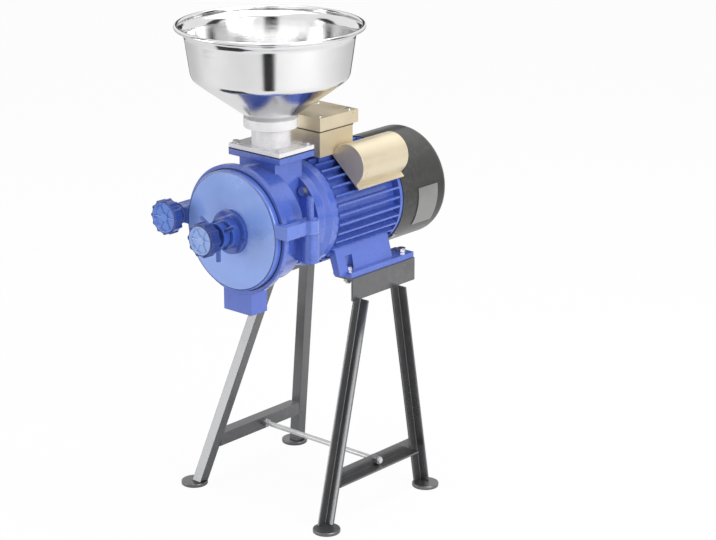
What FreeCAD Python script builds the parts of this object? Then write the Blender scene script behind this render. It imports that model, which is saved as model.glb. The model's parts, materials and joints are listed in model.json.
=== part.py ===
import FreeCAD, Part
import os
from types import SimpleNamespace

import Sketcher

# Electric grain mill on a steel stand, in millimetres.
# X points to the right seen from the front cover, Y to the back (the fan end) and Z up.
# The floor is at zero height, and the shaft runs along Y above the middle of the stand.

V = FreeCAD.Vector
doc = FreeCAD.newDocument("GrainMill")
sheet = doc.addObject("Spreadsheet::Sheet", "Sizes")

# Driving sizes: alias, value in millimetres or degrees, what it is
drivingSizes = [
    ("standHeight", 359.0, "floor to the top face of the stand's two angles"),
    ("angleWidth", 37.0, "flat flange of a top angle, under the motor's foot"),
    ("angleDrop", 36.0, "upright flange of a top angle"),
    ("angleWall", 4.0, "thickness of the top angle"),
    ("angleLength", 145.0, "length of the top angle"),
    ("angleStart", 2.5, "front end of the top angle, along the shaft"),
    ("angleOuter", 89.0, "middle plane to the outer face of the top angle"),
    ("legSide", 18.0, "side of the angle iron of a leg"),
    ("legWall", 3.0, "thickness of the angle iron of a leg"),
    ("legFootOut", 127.0, "middle plane to the web of a leg at its foot"),
    ("frontFootY", -120.0, "front edge of the front leg's web at its foot"),
    ("frontTopY", 4.5, "front edge of the front leg's web at its top"),
    ("rearFootY", 106.0, "front edge of the rear leg's web at its foot"),
    ("rearTopY", 92.0, "front edge of the rear leg's web at its top"),
    ("discRadius", 21.0, "radius of a foot disc"),
    ("discThick", 6.0, "thickness of a foot disc"),
    ("discOut", 140.0, "middle plane to the middle of a foot disc"),
    ("discPitch", 233.0, "front to rear foot disc, middle to middle"),
    ("crossSide", 20.0, "side of the angle iron of a crossbar"),
    ("crossHeight", 58.0, "floor to the underside of a crossbar"),
    ("tieRadius", 4.0, "radius of the tie rod"),
    ("tieY", 22.0, "place of the tie rod along the shaft"),
    ("tieLift", 10.0, "tie rod above the underside of the crossbar"),
    ("tieEnd", 9.0, "tie rod past the face of the crossbar"),
    ("tieNutAcross", 13.6, "tie rod nut, corner to corner"),
    ("tieNutThick", 6.5, "thickness of a tie rod nut"),
    ("fitGap", 0.05, "radial clearance of a running fit"),
    ("looseGap", 0.5, "radial clearance of a bolt hole"),
    ("shaftHeight", 96.0, "top of the stand to the shaft"),
    ("boltPitchX", 140.0, "motor foot holes, side to side"),
    ("boltPitchY", 125.0, "motor foot holes, front to rear"),
    ("boltFirstY", 12.5, "place of the front foot holes along the shaft"),
    ("footBolt", 4.0, "radius of a motor foot bolt"),
    ("footHeadRadius", 7.2, "motor foot bolt head, middle to corner"),
    ("footHeadThick", 5.3, "thickness of a motor foot bolt head"),
    ("footThick", 9.0, "thickness of a motor foot"),
    ("footInner", 50.0, "middle plane to the inner edge of a motor foot"),
    ("footOuter", 87.0, "middle plane to the outer edge of a motor foot"),
    ("footLength", 146.0, "length of a motor foot"),
    ("footStart", 1.0, "front end of a motor foot along the shaft"),
    ("webLength", 122.0, "length of the upright web over a motor foot"),
    ("webStart", -14.0, "front end of the web over a motor foot"),
    ("webThick", 9.0, "thickness of the web over a motor foot"),
    ("frameBore", 66.0, "inner radius of the motor frame"),
    ("frameWall", 6.0, "wall of the motor frame"),
    ("frameStart", -22.0, "front end of the motor frame along the shaft"),
    ("frameLength", 139.0, "length of the motor frame"),
    ("finRadius", 85.0, "radius over the cooling fins"),
    ("finThick", 3.2, "thickness of a cooling fin"),
    ("finCount", 36, "cooling fins round the frame"),
    ("endRim", 82.0, "radius of the end shields"),
    ("endRimLength", 14.0, "length of an end shield's rim"),
    ("endWeb", 8.0, "thickness of an end shield's web"),
    ("spigotLength", 5.0, "end shield spigot inside the frame"),
    ("frontNose", 30.0, "front end shield, frame to mill flange"),
    ("flangeRadius", 76.0, "radius of the flanges between mill and motor"),
    ("flangeThick", 8.0, "thickness of the flanges between mill and motor"),
    ("flangeBoltCircle", 66.0, "radius of the flange bolt circle"),
    ("flangeBolt", 4.0, "radius of a flange bolt"),
    ("bearingOuter", 26.0, "outer radius of the front bearing"),
    ("bearingWidth", 15.0, "width of the front bearing"),
    ("rearBearingOuter", 23.5, "outer radius of the rear bearing"),
    ("rearBearingWidth", 14.0, "width of the rear bearing"),
    ("ringWall", 4.0, "wall of a bearing ring"),
    ("ballCount", 9, "balls in a bearing"),
    ("shaftFront", 10.0, "shaft radius under the auger"),
    ("shaftSeat", 12.5, "shaft radius in the front bearing and the seal"),
    ("shaftBody", 15.0, "shaft radius in the rotor"),
    ("shaftRear", 10.0, "shaft radius in the rear bearing"),
    ("shaftFan", 8.5, "shaft radius in the fan"),
    ("statorInner", 42.0, "inner radius of the stator"),
    ("statorStart", 8.0, "front end of the stator along the shaft"),
    ("statorLength", 80.0, "length of the stator"),
    ("airGap", 0.4, "air gap between stator and rotor"),
    ("windingLength", 14.0, "winding overhang at each end of the stator"),
    ("windingWall", 16.0, "radial depth of the winding overhang"),
    ("fanRadius", 68.0, "radius of the cooling fan"),
    ("fanStart", 152.0, "front end of the fan along the shaft"),
    ("fanLength", 30.0, "length of the fan blades"),
    ("fanPlate", 3.0, "thickness of the fan's back plate"),
    ("fanHub", 18.0, "radius of the fan's hub"),
    ("fanBlades", 9, "blades on the fan"),
    ("coverOuter", 86.7, "outer radius of the fan cover"),
    ("coverWall", 1.5, "sheet thickness of the fan cover"),
    ("coverStart", 123.0, "front rim of the fan cover along the shaft"),
    ("coverLength", 109.0, "length of the fan cover"),
    ("coverScrew", 2.4, "radius of a fan cover screw"),
    ("coverCurve", 14.0, "rounding at the back of the fan cover"),
    ("slotCount", 20, "air slots in each ring of the fan cover"),
    ("slotWidth", 5.0, "width of an air slot"),
    ("slotInner", 26.0, "inner end of the inner air slots"),
    ("slotLength", 20.0, "length of an air slot"),
    ("slotBridge", 6.0, "bridge between the two rings of air slots"),
    ("boxHalf", 36.0, "half width of the terminal box"),
    ("boxFront", -12.0, "front face of the terminal box along the shaft"),
    ("boxLength", 74.0, "length of the terminal box"),
    ("boxFoot", 86.0, "shaft to the underside of the terminal box"),
    ("boxTall", 42.0, "height of the terminal box under its lid"),
    ("boxWall", 3.0, "wall of the terminal box and its lid"),
    ("postSide", 9.0, "side of a screw post inside the terminal box"),
    ("lidScrew", 2.1, "radius of a lid screw"),
    ("lidLip", 6.0, "overhang of the terminal box lid"),
    ("lidTall", 20.0, "height of the terminal box lid"),
    ("domeAngle", 41.0, "capacitor cover from straight up"),
    ("domeRadius", 32.0, "radius of the capacitor cover's arch"),
    ("domeCentre", 98.0, "shaft to the middle of the capacitor cover's arch"),
    ("domeFoot", 85.5, "shaft to the underside of the capacitor cover"),
    ("domeStart", 18.0, "front face of the capacitor cover along the shaft"),
    ("domeLength", 104.0, "length of the capacitor cover"),
    ("domeWall", 2.0, "wall of the capacitor cover"),
    ("domeBrim", 8.0, "flange of the capacitor cover past its arch"),
    ("capRadius", 20.5, "radius of a capacitor"),
    ("capLength", 88.0, "length of a capacitor"),
    ("glandRadius", 9.0, "radius of the cable gland"),
    ("glandBore", 4.5, "radius of the cable gland's bore"),
    ("housingFront", -157.0, "front face of the mill housing along the shaft"),
    ("housingRadius", 88.0, "radius of the mill housing's drum"),
    ("housingWall", 6.0, "wall of the mill housing's drum"),
    ("chamberDepth", 42.0, "depth of the grinding chamber"),
    ("backWall", 10.0, "wall behind the grinding chamber"),
    ("rimRadius", 91.0, "radius of the front cover"),
    ("housingRim", 98.0, "radius of the mill housing's rim behind the front cover"),
    ("rimThick", 9.0, "thickness of the housing rim"),
    ("barrelOuter", 44.0, "outer radius of the auger barrel"),
    ("barrelBore", 29.0, "bore of the auger barrel"),
    ("hopperY", -79.2, "place of the hopper and neck along the shaft"),
    ("padHeight", 107.0, "shaft to the top of the housing's feed pad"),
    ("padHalf", 36.0, "half width of the feed pad's block"),
    ("padThick", 9.0, "thickness of the feed pad"),
    ("neckBore", 21.0, "radius of the feed bore"),
    ("spoutHalf", 28.0, "half width of the discharge spout"),
    ("spoutFront", -156.0, "front face of the discharge spout"),
    ("spoutLength", 34.0, "discharge spout, front to rear"),
    ("spoutDrop", 128.0, "shaft to the lower end of the discharge spout"),
    ("spoutWall", 4.5, "wall of the discharge spout"),
    ("coverThick", 10.0, "thickness of the front cover"),
    ("recessDepth", 5.0, "recess in the back of the front cover"),
    ("recessRadius", 72.0, "radius of the recess in the front cover"),
    ("bossRadius", 24.0, "radius of the boss on the front cover"),
    ("bossLength", 20.0, "length of the boss on the front cover"),
    ("bossFoot", 33.0, "radius of the step round the boss"),
    ("bossStep", 6.0, "height of the step round the boss"),
    ("hingeX", 108.0, "middle plane to the hinge pin"),
    ("hingeY", -113.0, "place of the hinge pin along the shaft"),
    ("knuckleRadius", 13.0, "radius of a hinge knuckle"),
    ("hingeSplit", 6.0, "shaft height to the joint between the knuckles"),
    ("lowKnuckle", 43.0, "length of the housing's knuckle"),
    ("highKnuckle", 20.5, "length of the cover's knuckle"),
    ("knuckleGap", 0.4, "gap between the knuckles"),
    ("armThick", 12.0, "thickness of the cover's hinge arm"),
    ("pinRadius", 5.0, "radius of the hinge pin"),
    ("pinRise", 34.0, "hinge pin above the cover's knuckle"),
    ("clampX", 110.0, "middle plane to the clamp screw"),
    ("clampRise", 6.0, "clamp screw above the shaft"),
    ("lugRadius", 16.0, "radius of the clamp lugs"),
    ("lugDepth", 18.0, "length of the housing's clamp lug"),
    ("lugSlot", 3.0, "slot in the housing's clamp lug, past the clamp screw"),
    ("studRadius", 6.0, "radius of the clamp screw"),
    ("studReach", 13.5, "clamp screw inside the housing's lug"),
    ("washerThick", 3.0, "thickness of the clamp washer"),
    ("washerRadius", 13.0, "radius of the clamp washer"),
    ("knobRadius", 27.0, "radius of the clamp knob"),
    ("knobThick", 17.0, "thickness of the clamp knob's head"),
    ("knobHub", 15.0, "radius of the clamp knob's hub"),
    ("knobHubLength", 11.0, "length of the clamp knob's hub"),
    ("screwRadius", 8.0, "radius of the adjusting screw"),
    ("journalRadius", 6.0, "radius of the adjusting screw's journal"),
    ("journalLength", 9.0, "length of the adjusting screw's journal"),
    ("lockGap", 1.0, "lock ring clear of the cover's boss"),
    ("lockRadius", 19.0, "radius of the lock ring"),
    ("lockThick", 13.0, "thickness of the lock ring"),
    ("pegRadius", 3.5, "radius of a lock ring peg"),
    ("pegReach", 40.0, "shaft to the end of a lock ring peg"),
    ("pegCount", 3, "pegs on the lock ring"),
    ("wheelGap", 4.0, "adjusting wheel clear of the lock ring"),
    ("wheelRadius", 26.0, "radius of the adjusting wheel"),
    ("wheelFront", -232.0, "front face of the adjusting wheel along the shaft"),
    ("wheelThick", 19.0, "thickness of the adjusting wheel's rim"),
    ("wheelHub", 14.0, "radius of the adjusting wheel's hub"),
    ("carrierRadius", 62.0, "radius of the fixed disc's carrier"),
    ("carrierFront", -155.0, "front face of the carrier along the shaft"),
    ("carrierThick", 3.0, "thickness of the carrier"),
    ("carrierBoss", 14.0, "radius of the carrier's boss"),
    ("guideRadius", 3.0, "radius of a carrier guide pin"),
    ("guideCircle", 45.0, "radius of the circle of the guide pins"),
    ("discOuter", 65.0, "outer radius of the grinding discs"),
    ("discInner", 28.0, "inner radius of the grinding discs"),
    ("discDepth", 10.0, "thickness of a grinding disc"),
    ("discRest", 0.5, "gap between the grinding discs at rest"),
    ("discTravel", 3.0, "travel of the fixed grinding disc"),
    ("grooveCount", 18, "grooves across a grinding disc"),
    ("grooveDepth", 2.0, "depth of a grinding groove"),
    ("grooveWidth", 4.0, "width of a grinding groove"),
    ("screwCircle", 52.0, "radius of the circle of the disc screws"),
    ("discScrew", 3.0, "radius of a disc screw"),
    ("discScrewHead", 5.5, "radius of a disc screw's head"),
    ("holderRadius", 62.0, "radius of the disc holder"),
    ("holderThick", 9.0, "thickness of the disc holder"),
    ("holderHub", 17.0, "radius of the disc holder's hub"),
    ("windowRadius", 8.0, "radius of a feed window in the disc holder"),
    ("windowCircle", 27.0, "radius of the circle of the feed windows"),
    ("augerHub", 14.0, "radius of the auger's hub"),
    ("augerRadius", 28.0, "radius of the auger's flight"),
    ("augerPitch", 26.0, "pitch of the auger's flight"),
    ("flightThick", 5.0, "thickness of the auger's flight"),
    ("flightTurns", 1.5, "turns of the auger's flight"),
    ("sealOuter", 19.0, "outer radius of the shaft seal"),
    ("discBolt", 5.0, "radius of the disc bolt"),
    ("discBoltHead", 9.5, "disc bolt head, middle to corner"),
    ("boltDeep", 22.0, "depth of the disc bolt's hole in the shaft"),
    ("neckPlateX", 103.0, "width of the neck's plate"),
    ("neckPlateY", 75.0, "depth of the neck's plate"),
    ("neckPlate", 6.0, "thickness of the neck's plate"),
    ("gasketThick", 2.0, "thickness of the neck gasket"),
    ("neckOuter", 29.0, "outer radius of the neck"),
    ("neckTall", 48.0, "height of the neck over the gasket"),
    ("collarOuter", 40.5, "outer radius of the neck's collar"),
    ("collarInner", 35.5, "socket radius of the neck's collar"),
    ("collarTall", 14.0, "height of the neck's collar"),
    ("neckBoltIn", 8.0, "neck bolt from the edges of the plate"),
    ("neckBolt", 3.0, "radius of a neck bolt"),
    ("sheetWall", 1.4, "sheet thickness of the hopper"),
    ("coneRise", 60.0, "height of the hopper's cone"),
    ("breakRadius", 117.0, "hopper radius where the cone meets the wall"),
    ("bandRise", 62.0, "height of the hopper's upper wall"),
    ("bandRadius", 126.0, "hopper radius at the top of its wall"),
    ("rimRise", 14.0, "rim of the hopper above its wall"),
    ("hopperRim", 137.5, "radius to the middle of the rim's rolled edge"),
    ("rollRadius", 3.2, "radius of the rim's rolled edge"),
    ("spigotTall", 9.0, "hopper spigot inside the neck's collar"),
]


class Size:
    """A size as a number, together with the sheet expression that gives it."""

    def __init__(self, value, text):
        self.value = float(value)
        self.text = text

    def __neg__(self):
        return Size(-self.value, "(0 - " + self.text + ")")

    def __add__(self, other):
        other = sized(other)
        return Size(self.value + other.value, "(" + self.text + " + " + other.text + ")")

    def __sub__(self, other):
        other = sized(other)
        return Size(self.value - other.value, "(" + self.text + " - " + other.text + ")")

    def __mul__(self, other):
        other = sized(other)
        return Size(self.value * other.value, "(" + self.text + " * " + other.text + ")")

    def __truediv__(self, other):
        other = sized(other)
        return Size(self.value / other.value, "(" + self.text + " / " + other.text + ")")

    def __radd__(self, other):
        return sized(other) + self

    def __rsub__(self, other):
        return sized(other) - self

    def __rmul__(self, other):
        return sized(other) * self


def sized(amount):
    """Gives plain numbers the same form as a size."""
    return amount if isinstance(amount, Size) else Size(amount, repr(float(amount)))


for row, (alias, value, note) in enumerate(drivingSizes, start=1):
    sheet.set("A%d" % row, alias)
    sheet.set("B%d" % row, str(value))
    sheet.setAlias("B%d" % row, alias)
    sheet.set("C%d" % row, note)
s = SimpleNamespace(**{alias: Size(value, "Sizes." + alias) for alias, value, note in drivingSizes})
doc.recompute()

nodes = []
axisTurns = {
    "X": FreeCAD.Rotation(V(0, 1, 0), 90),
    "Y": FreeCAD.Rotation(V(1, 0, 0), -90),
    "Z": FreeCAD.Rotation(),
}


def bind(obj, path, amount):
    obj.setExpression(path, sized(amount).text)


def place(obj, at, rotation=None):
    """Puts an object at a point whose coordinates are sizes."""
    spots = [sized(amount) for amount in at]
    obj.Placement = FreeCAD.Placement(V(*[spot.value for spot in spots]), rotation or FreeCAD.Rotation())
    for letter, spot in zip("xyz", spots):
        bind(obj, "Placement.Base." + letter, spot)
    return obj


def node(obj, name):
    obj.Label = name
    nodes.append(obj)
    return obj


# Plain solids along one axis

def rod(name, radius, length, at, axis="Y"):
    obj = doc.addObject("Part::Cylinder", name)
    bind(obj, "Radius", radius)
    bind(obj, "Height", length)
    return place(obj, at, axisTurns[axis])


def hexagon(name, radius, length, at, axis="Y"):
    obj = doc.addObject("Part::Prism", name)
    obj.Polygon = 6
    bind(obj, "Circumradius", radius)
    bind(obj, "Height", length)
    return place(obj, at, axisTurns[axis])


def block(name, size, at):
    obj = doc.addObject("Part::Box", name)
    for side, amount in zip(("Length", "Width", "Height"), size):
        bind(obj, side, amount)
    return place(obj, at)


def join(name, pieces):
    obj = doc.addObject("Part::MultiFuse", name)
    obj.Shapes = pieces
    obj.Refine = True
    return obj


def carve(name, base, tools):
    obj = doc.addObject("Part::Cut", name)
    obj.Base = base
    obj.Tool = tools[0] if len(tools) == 1 else join(name + "Tools", tools)
    obj.Refine = True
    return obj


def washer(name, outer, inner, length, at, axis="Y"):
    return carve(name, rod(name + "Outer", outer, length, at, axis), [rod(name + "Bore", inner, length, at, axis)])


# Bodies with sketches

def newBody(name):
    return doc.addObject("PartDesign::Body", name)


def origin(body, role):
    return [item for item in body.Origin.OriginFeatures if item.Role == role][0]


def newSketch(body, name, plane, offset=0.0):
    sketch = body.newObject("Sketcher::SketchObject", name)
    sketch.AttachmentSupport = [(origin(body, plane), "")]
    sketch.MapMode = "FlatFace"
    bind(sketch, "AttachmentOffset.Base.z", offset)
    return sketch


def pin(sketch, geometry, point, amounts):
    """Holds one point of a sketch at a distance from the sketch's origin."""
    for kind, amount in zip(("DistanceX", "DistanceY"), amounts):
        amount = sized(amount)
        index = sketch.addConstraint(Sketcher.Constraint(kind, -1, 1, geometry, point, amount.value))
        sketch.setExpression("Constraints[%d]" % index, amount.text)


def outline(sketch, points):
    """Draws a closed run of straight lines through points given as sizes."""
    corners = [V(sized(x).value, sized(y).value, 0) for x, y in points]
    first = sketch.GeometryCount
    count = len(corners)
    for i in range(count):
        sketch.addGeometry(Part.LineSegment(corners[i], corners[(i + 1) % count]), False)
    for i in range(count):
        sketch.addConstraint(Sketcher.Constraint("Coincident", first + i, 2, first + (i + 1) % count, 1))
    for i, point in enumerate(points):
        pin(sketch, first + i, 1, point)


def ring(sketch, centre, radius):
    """Draws a circle whose middle and radius are sizes."""
    radius = sized(radius)
    middle = V(sized(centre[0]).value, sized(centre[1]).value, 0)
    index = sketch.addGeometry(Part.Circle(middle, V(0, 0, 1), radius.value), False)
    pin(sketch, index, 3, centre)
    limit = sketch.addConstraint(Sketcher.Constraint("Radius", index, radius.value))
    sketch.setExpression("Constraints[%d]" % limit, radius.text)


def feature(body, kind, name, sketch, length=None, through=False, reverse=False):
    """Adds a pad or a pocket on a sketch."""
    obj = body.newObject("PartDesign::" + kind, name)
    obj.Profile = sketch
    obj.Reversed = reverse
    if through:
        obj.Type = "ThroughAll"
    else:
        bind(obj, "Length", length)
    return obj


def turned(name, points, axis="Y", at=(0, 0, 0)):
    """Revolves a profile: along the shaft for Y, upright for Z."""
    body = newBody(name)
    plane, line = ("YZ_Plane", "H_Axis") if axis == "Y" else ("XZ_Plane", "V_Axis")
    sketch = newSketch(body, name + "Profile", plane)
    outline(sketch, points)
    spin = body.newObject("PartDesign::Revolution", name + "Turn")
    spin.Profile = sketch
    spin.ReferenceAxis = (sketch, [line])
    spin.Angle = 360
    place(body, at)
    return body


def repeat(body, name, item, count, axis="Y_Axis"):
    """Repeats a feature round one of the body's own axes."""
    pattern = body.newObject("PartDesign::PolarPattern", name)
    pattern.Originals = [item]
    pattern.Axis = (origin(body, axis), [""])
    pattern.Angle = 360
    bind(pattern, "Occurrences", count)
    body.Tip = pattern
    return pattern


def edgesWhere(shape, test):
    """Names the edges that pass a test."""
    names = []
    for number, edge in enumerate(shape.Edges, start=1):
        if test(edge):
            names.append("Edge%d" % number)
    return names


def soften(body, kind, name, size, test):
    """Fillets or chamfers the chosen edges of a body's last feature."""
    doc.recompute()
    last = body.Tip
    edges = edgesWhere(last.Shape, test)
    obj = body.newObject("PartDesign::" + kind, name)
    obj.Base = (last, edges)
    bind(obj, "Radius" if kind == "Fillet" else "Size", size)
    body.Tip = obj
    return obj


axis = s.standHeight + s.shaftHeight
shaftLine = (0, 0, axis)

# Stand: two angles, four legs of angle iron, crossbars, foot discs and a tie rod

legTop = s.standHeight - s.angleDrop
legRise = legTop - s.discThick
crossTop = s.crossHeight + s.crossSide
sides = {"right": 1, "left": -1}


def legAt(foot, top, height):
    """Gives where a leaning leg stands at some height."""
    return foot + (top - foot) * ((height - s.discThick) / legRise)


crossOut = legAt(s.legFootOut, s.angleOuter, (s.crossHeight + crossTop) / 2)


def topAngle(name, side):
    flat = block(
        name + "Flat",
        (s.angleWidth, s.angleLength, s.angleWall),
        (s.angleOuter - s.angleWidth if side > 0 else -s.angleOuter, s.angleStart, s.standHeight - s.angleWall),
    )
    drop = block(
        name + "Drop",
        (s.angleWall, s.angleLength, s.angleDrop),
        (s.angleOuter - s.angleWall if side > 0 else -s.angleOuter, s.angleStart, legTop),
    )
    holes = [
        rod(
            name + "Hole%d" % i,
            s.footBolt + s.looseGap,
            s.angleWall * 3,
            (side * s.boltPitchX / 2, s.boltFirstY + i * s.boltPitchY, s.standHeight - s.angleWall * 2),
            "Z",
        )
        for i in range(2)
    ]
    return node(carve(name + "Angle", join(name + "Stock", [flat, drop]), holes), name)


def leg(name, side, footY, topY):
    """A leaning angle iron; its upright web is flush with the top angle, its flange points outwards."""
    body = newBody(name + "Body")
    sketch = newSketch(body, name + "Section", "XY_Plane", s.discThick)
    out = side * s.legFootOut
    back = side * (s.legFootOut - s.legWall)
    tip = back + side * s.legSide
    if side > 0:
        inner, outer = footY + s.legSide - s.legWall, footY + s.legSide
        points = [(back, footY), (out, footY), (out, inner), (tip, inner), (tip, outer), (back, outer)]
    else:
        inner, outer = footY + s.legWall, footY + s.legSide
        points = [(back, footY), (back, outer), (out, outer), (out, inner), (tip, inner), (tip, footY)]
    outline(sketch, points)
    pad = feature(body, "Pad", name + "Run", sketch, legRise)
    pad.UseCustomVector = True
    pad.AlongSketchNormal = True
    lean = (side * (s.angleOuter - s.legFootOut), topY - footY, legRise)
    pad.Direction = V(*[sized(amount).value for amount in lean])
    for letter, amount in zip("xyz", lean):
        bind(pad, "Direction." + letter, amount)
    return node(body, name)


def crossbar(name, side):
    """An angle iron between the legs; its flange points outwards, low on the right, high on the left."""
    low, high = s.crossHeight, crossTop
    edge, rim = (low, low + s.legWall) if side > 0 else (high - s.legWall, high)
    front = {z: legAt(s.frontFootY, s.frontTopY, z) + s.legSide for z in (low, high, edge, rim)}
    rear = {z: legAt(s.rearFootY, s.rearTopY, z) for z in (low, high, edge, rim)}
    body = newBody(name + "Body")
    start = side * (crossOut - s.legWall) if side > 0 else side * crossOut
    web = newSketch(body, name + "WebSide", "YZ_Plane", start)
    outline(web, [(front[low], low), (rear[low], low), (rear[high], high), (front[high], high)])
    feature(body, "Pad", name + "Web", web, s.legWall)
    reach = start if side > 0 else start - (s.crossSide - s.legWall)
    brim = newSketch(body, name + "BrimSide", "YZ_Plane", reach)
    outline(brim, [(front[edge], edge), (rear[edge], edge), (rear[rim], rim), (front[rim], rim)])
    feature(body, "Pad", name + "Brim", brim, s.crossSide)
    hole = newSketch(body, name + "HoleSide", "YZ_Plane", start + s.legWall)
    ring(hole, (s.tieY, low + s.tieLift), s.tieRadius + s.looseGap)
    feature(body, "Pocket", name + "Hole", hole, s.legWall)
    return node(body, name)


for word, side in sides.items():
    topAngle("top_angle_" + word, side)
    leg("front_leg_" + word, side, s.frontFootY, s.frontTopY)
    leg("rear_leg_" + word, side, s.rearFootY, s.rearTopY)
    crossbar("crossbar_" + word, side)

discs = [
    rod("FootDisc%d" % i, s.discRadius, s.discThick, (x * s.discOut, y * s.discPitch / 2, 0), "Z")
    for i, (x, y) in enumerate([(1, -1), (1, 1), (-1, -1), (-1, 1)])
]
node(join("FootDiscs", discs), "foot_discs")

tieHeight = s.crossHeight + s.tieLift
tieHalf = crossOut + s.tieEnd
node(rod("TieRod", s.tieRadius, tieHalf * 2, (-tieHalf, s.tieY, tieHeight), "X"), "tie_rod")
tieNuts = []
for i, start in enumerate([
    crossOut, crossOut - s.legWall - s.tieNutThick, -crossOut - s.tieNutThick, s.legWall - crossOut,
]):
    at = (start, s.tieY, tieHeight)
    nut = hexagon("TieNut%d" % i, s.tieNutAcross / 2, s.tieNutThick, at, "X")
    tieNuts.append(carve("TieNutRing%d" % i, nut, [rod("TieNutBore%d" % i, s.tieRadius + s.fitGap, s.tieNutThick, at, "X")]))
node(join("TieNuts", tieNuts), "tie_rod_nuts")

# Motor frame: finned tube with two feet

frameEnd = s.frameStart + s.frameLength
frameOuter = s.frameBore + s.frameWall

tube = newBody("FrameTube")
tubeSketch = newSketch(tube, "FrameTubeSection", "XZ_Plane", -s.frameStart)
ring(tubeSketch, (0, 0), frameOuter)
ring(tubeSketch, (0, 0), s.frameBore)
feature(tube, "Pad", "FrameTubeRun", tubeSketch, s.frameLength, reverse=True)
finSketch = newSketch(tube, "FinSection", "XZ_Plane", -s.frameStart)
finFoot = frameOuter - s.frameWall / 2
outline(finSketch, [
    (finFoot, -s.finThick / 2), (s.finRadius, -s.finThick / 2), (s.finRadius, s.finThick / 2), (finFoot, s.finThick / 2),
])
fin = feature(tube, "Pad", "Fin", finSketch, s.frameLength, reverse=True)
repeat(tube, "Fins", fin, s.finCount)
place(tube, shaftLine, FreeCAD.Rotation(V(0, 1, 0), 5))

footBottom = s.standHeight
footPieces = [tube]
footHoles = []
for word, side in sides.items():
    web = newBody("FootWeb_" + word)
    webSketch = newSketch(web, "FootWebSection_" + word, "XZ_Plane", -s.webStart)
    webLow = s.footThick / 2 - s.shaftHeight
    webTop = -s.frameBore * 0.7
    outline(webSketch, [
        (side * (frameOuter * 0.7), webTop),
        (side * (frameOuter * 0.7 + s.webThick * 1.6), webTop),
        (side * (s.footOuter - s.webThick), webLow),
        (side * (s.footOuter - s.webThick * 2.4), webLow),
    ])
    feature(web, "Pad", "FootWebRun_" + word, webSketch, s.webLength, reverse=True)
    place(web, shaftLine)
    left = s.footInner if side > 0 else -s.footOuter
    rail = block("FootRail_" + word, (s.footOuter - s.footInner, s.footLength, s.footThick), (left, s.footStart, footBottom))
    footPieces += [web, rail]
boltSpots = [(side * s.boltPitchX / 2, s.boltFirstY + i * s.boltPitchY) for side in (1, -1) for i in range(2)]
footHoles = [
    rod("FootHole%d" % i, s.footBolt + s.looseGap, s.footThick * 3, (x, y, footBottom - s.footThick), "Z")
    for i, (x, y) in enumerate(boltSpots)
]
headSeat = footBottom + s.footThick
footHoles += [
    rod("FootSpot%d" % i, s.footHeadRadius + 1, s.footThick * 2.5, (x, y, headSeat), "Z")
    for i, (x, y) in enumerate(boltSpots)
]
seatFoot = s.frameBore + s.frameWall / 2
boxSeat = block(
    "BoxSeat", (s.boxHalf * 1.6, s.boxLength - s.boxWall * 4, s.boxFoot - seatFoot),
    (-s.boxHalf * 0.8, s.boxFront + s.boxWall * 2, axis + seatFoot),
)
node(carve("MotorFrame", join("MotorFrameStock", footPieces + [boxSeat]), footHoles), "motor_frame")

bolts, nuts = [], []
boltDrop = s.footThick + s.angleWall + s.footHeadThick + 3
for i, (x, y) in enumerate(boltSpots):
    head = hexagon("FootBoltHead%d" % i, s.footHeadRadius, s.footHeadThick, (x, y, headSeat), "Z")
    shank = rod("FootBoltShank%d" % i, s.footBolt, boltDrop, (x, y, headSeat - boltDrop), "Z")
    bolts.append(join("FootBolt%d" % i, [head, shank]))
    nutAt = (x, y, s.standHeight - s.angleWall - s.footHeadThick)
    nut = hexagon("FootNut%d" % i, s.footHeadRadius, s.footHeadThick, nutAt, "Z")
    nuts.append(carve("FootNutRing%d" % i, nut, [rod("FootNutBore%d" % i, s.footBolt + s.fitGap, s.footHeadThick, nutAt, "Z")]))
node(join("FootBolts", bolts), "motor_foot_bolts")
node(join("FootNuts", nuts), "motor_foot_nuts")

# End shields, bearings and stator

noseStart = s.frameStart - s.frontNose
frontPocket = noseStart + s.endWeb
frontFit = s.frameBore - s.fitGap
frontShield = turned("FrontShield", [
    (noseStart, s.shaftSeat + s.looseGap),
    (noseStart, s.flangeRadius),
    (frontPocket, s.flangeRadius),
    (s.frameStart - s.endRimLength, s.endRim),
    (s.frameStart, s.endRim),
    (s.frameStart, frontFit),
    (s.frameStart + s.spigotLength, frontFit),
    (s.frameStart + s.spigotLength, frontFit - s.endWeb),
    (frontPocket + s.bearingWidth, s.bearingOuter + s.endWeb * 3),
    (frontPocket + s.bearingWidth, s.bearingOuter),
    (frontPocket, s.bearingOuter),
    (frontPocket, s.shaftSeat + s.looseGap),
], at=shaftLine)

rearRim = s.coverOuter - s.coverWall - s.fitGap
rearFace = frameEnd + s.endRimLength + 2
rearPocket = rearFace - s.rearBearingWidth
rearShield = turned("RearShield", [
    (frameEnd - s.spigotLength, frontFit),
    (frameEnd, frontFit),
    (frameEnd, rearRim),
    (rearFace, rearRim),
    (rearFace, rearRim - s.endWeb),
    (rearFace - s.endWeb / 2, rearRim - s.endWeb),
    (rearFace - s.endWeb / 2, s.rearBearingOuter + s.endWeb),
    (rearFace + s.endWeb / 2, s.rearBearingOuter + s.endWeb),
    (rearFace + s.endWeb / 2, s.shaftRear + s.looseGap),
    (rearFace, s.shaftRear + s.looseGap),
    (rearFace, s.rearBearingOuter),
    (rearPocket, s.rearBearingOuter),
    (rearPocket, frontFit - s.endWeb),
    (frameEnd - s.spigotLength, frontFit - s.endWeb),
], at=shaftLine)

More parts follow.
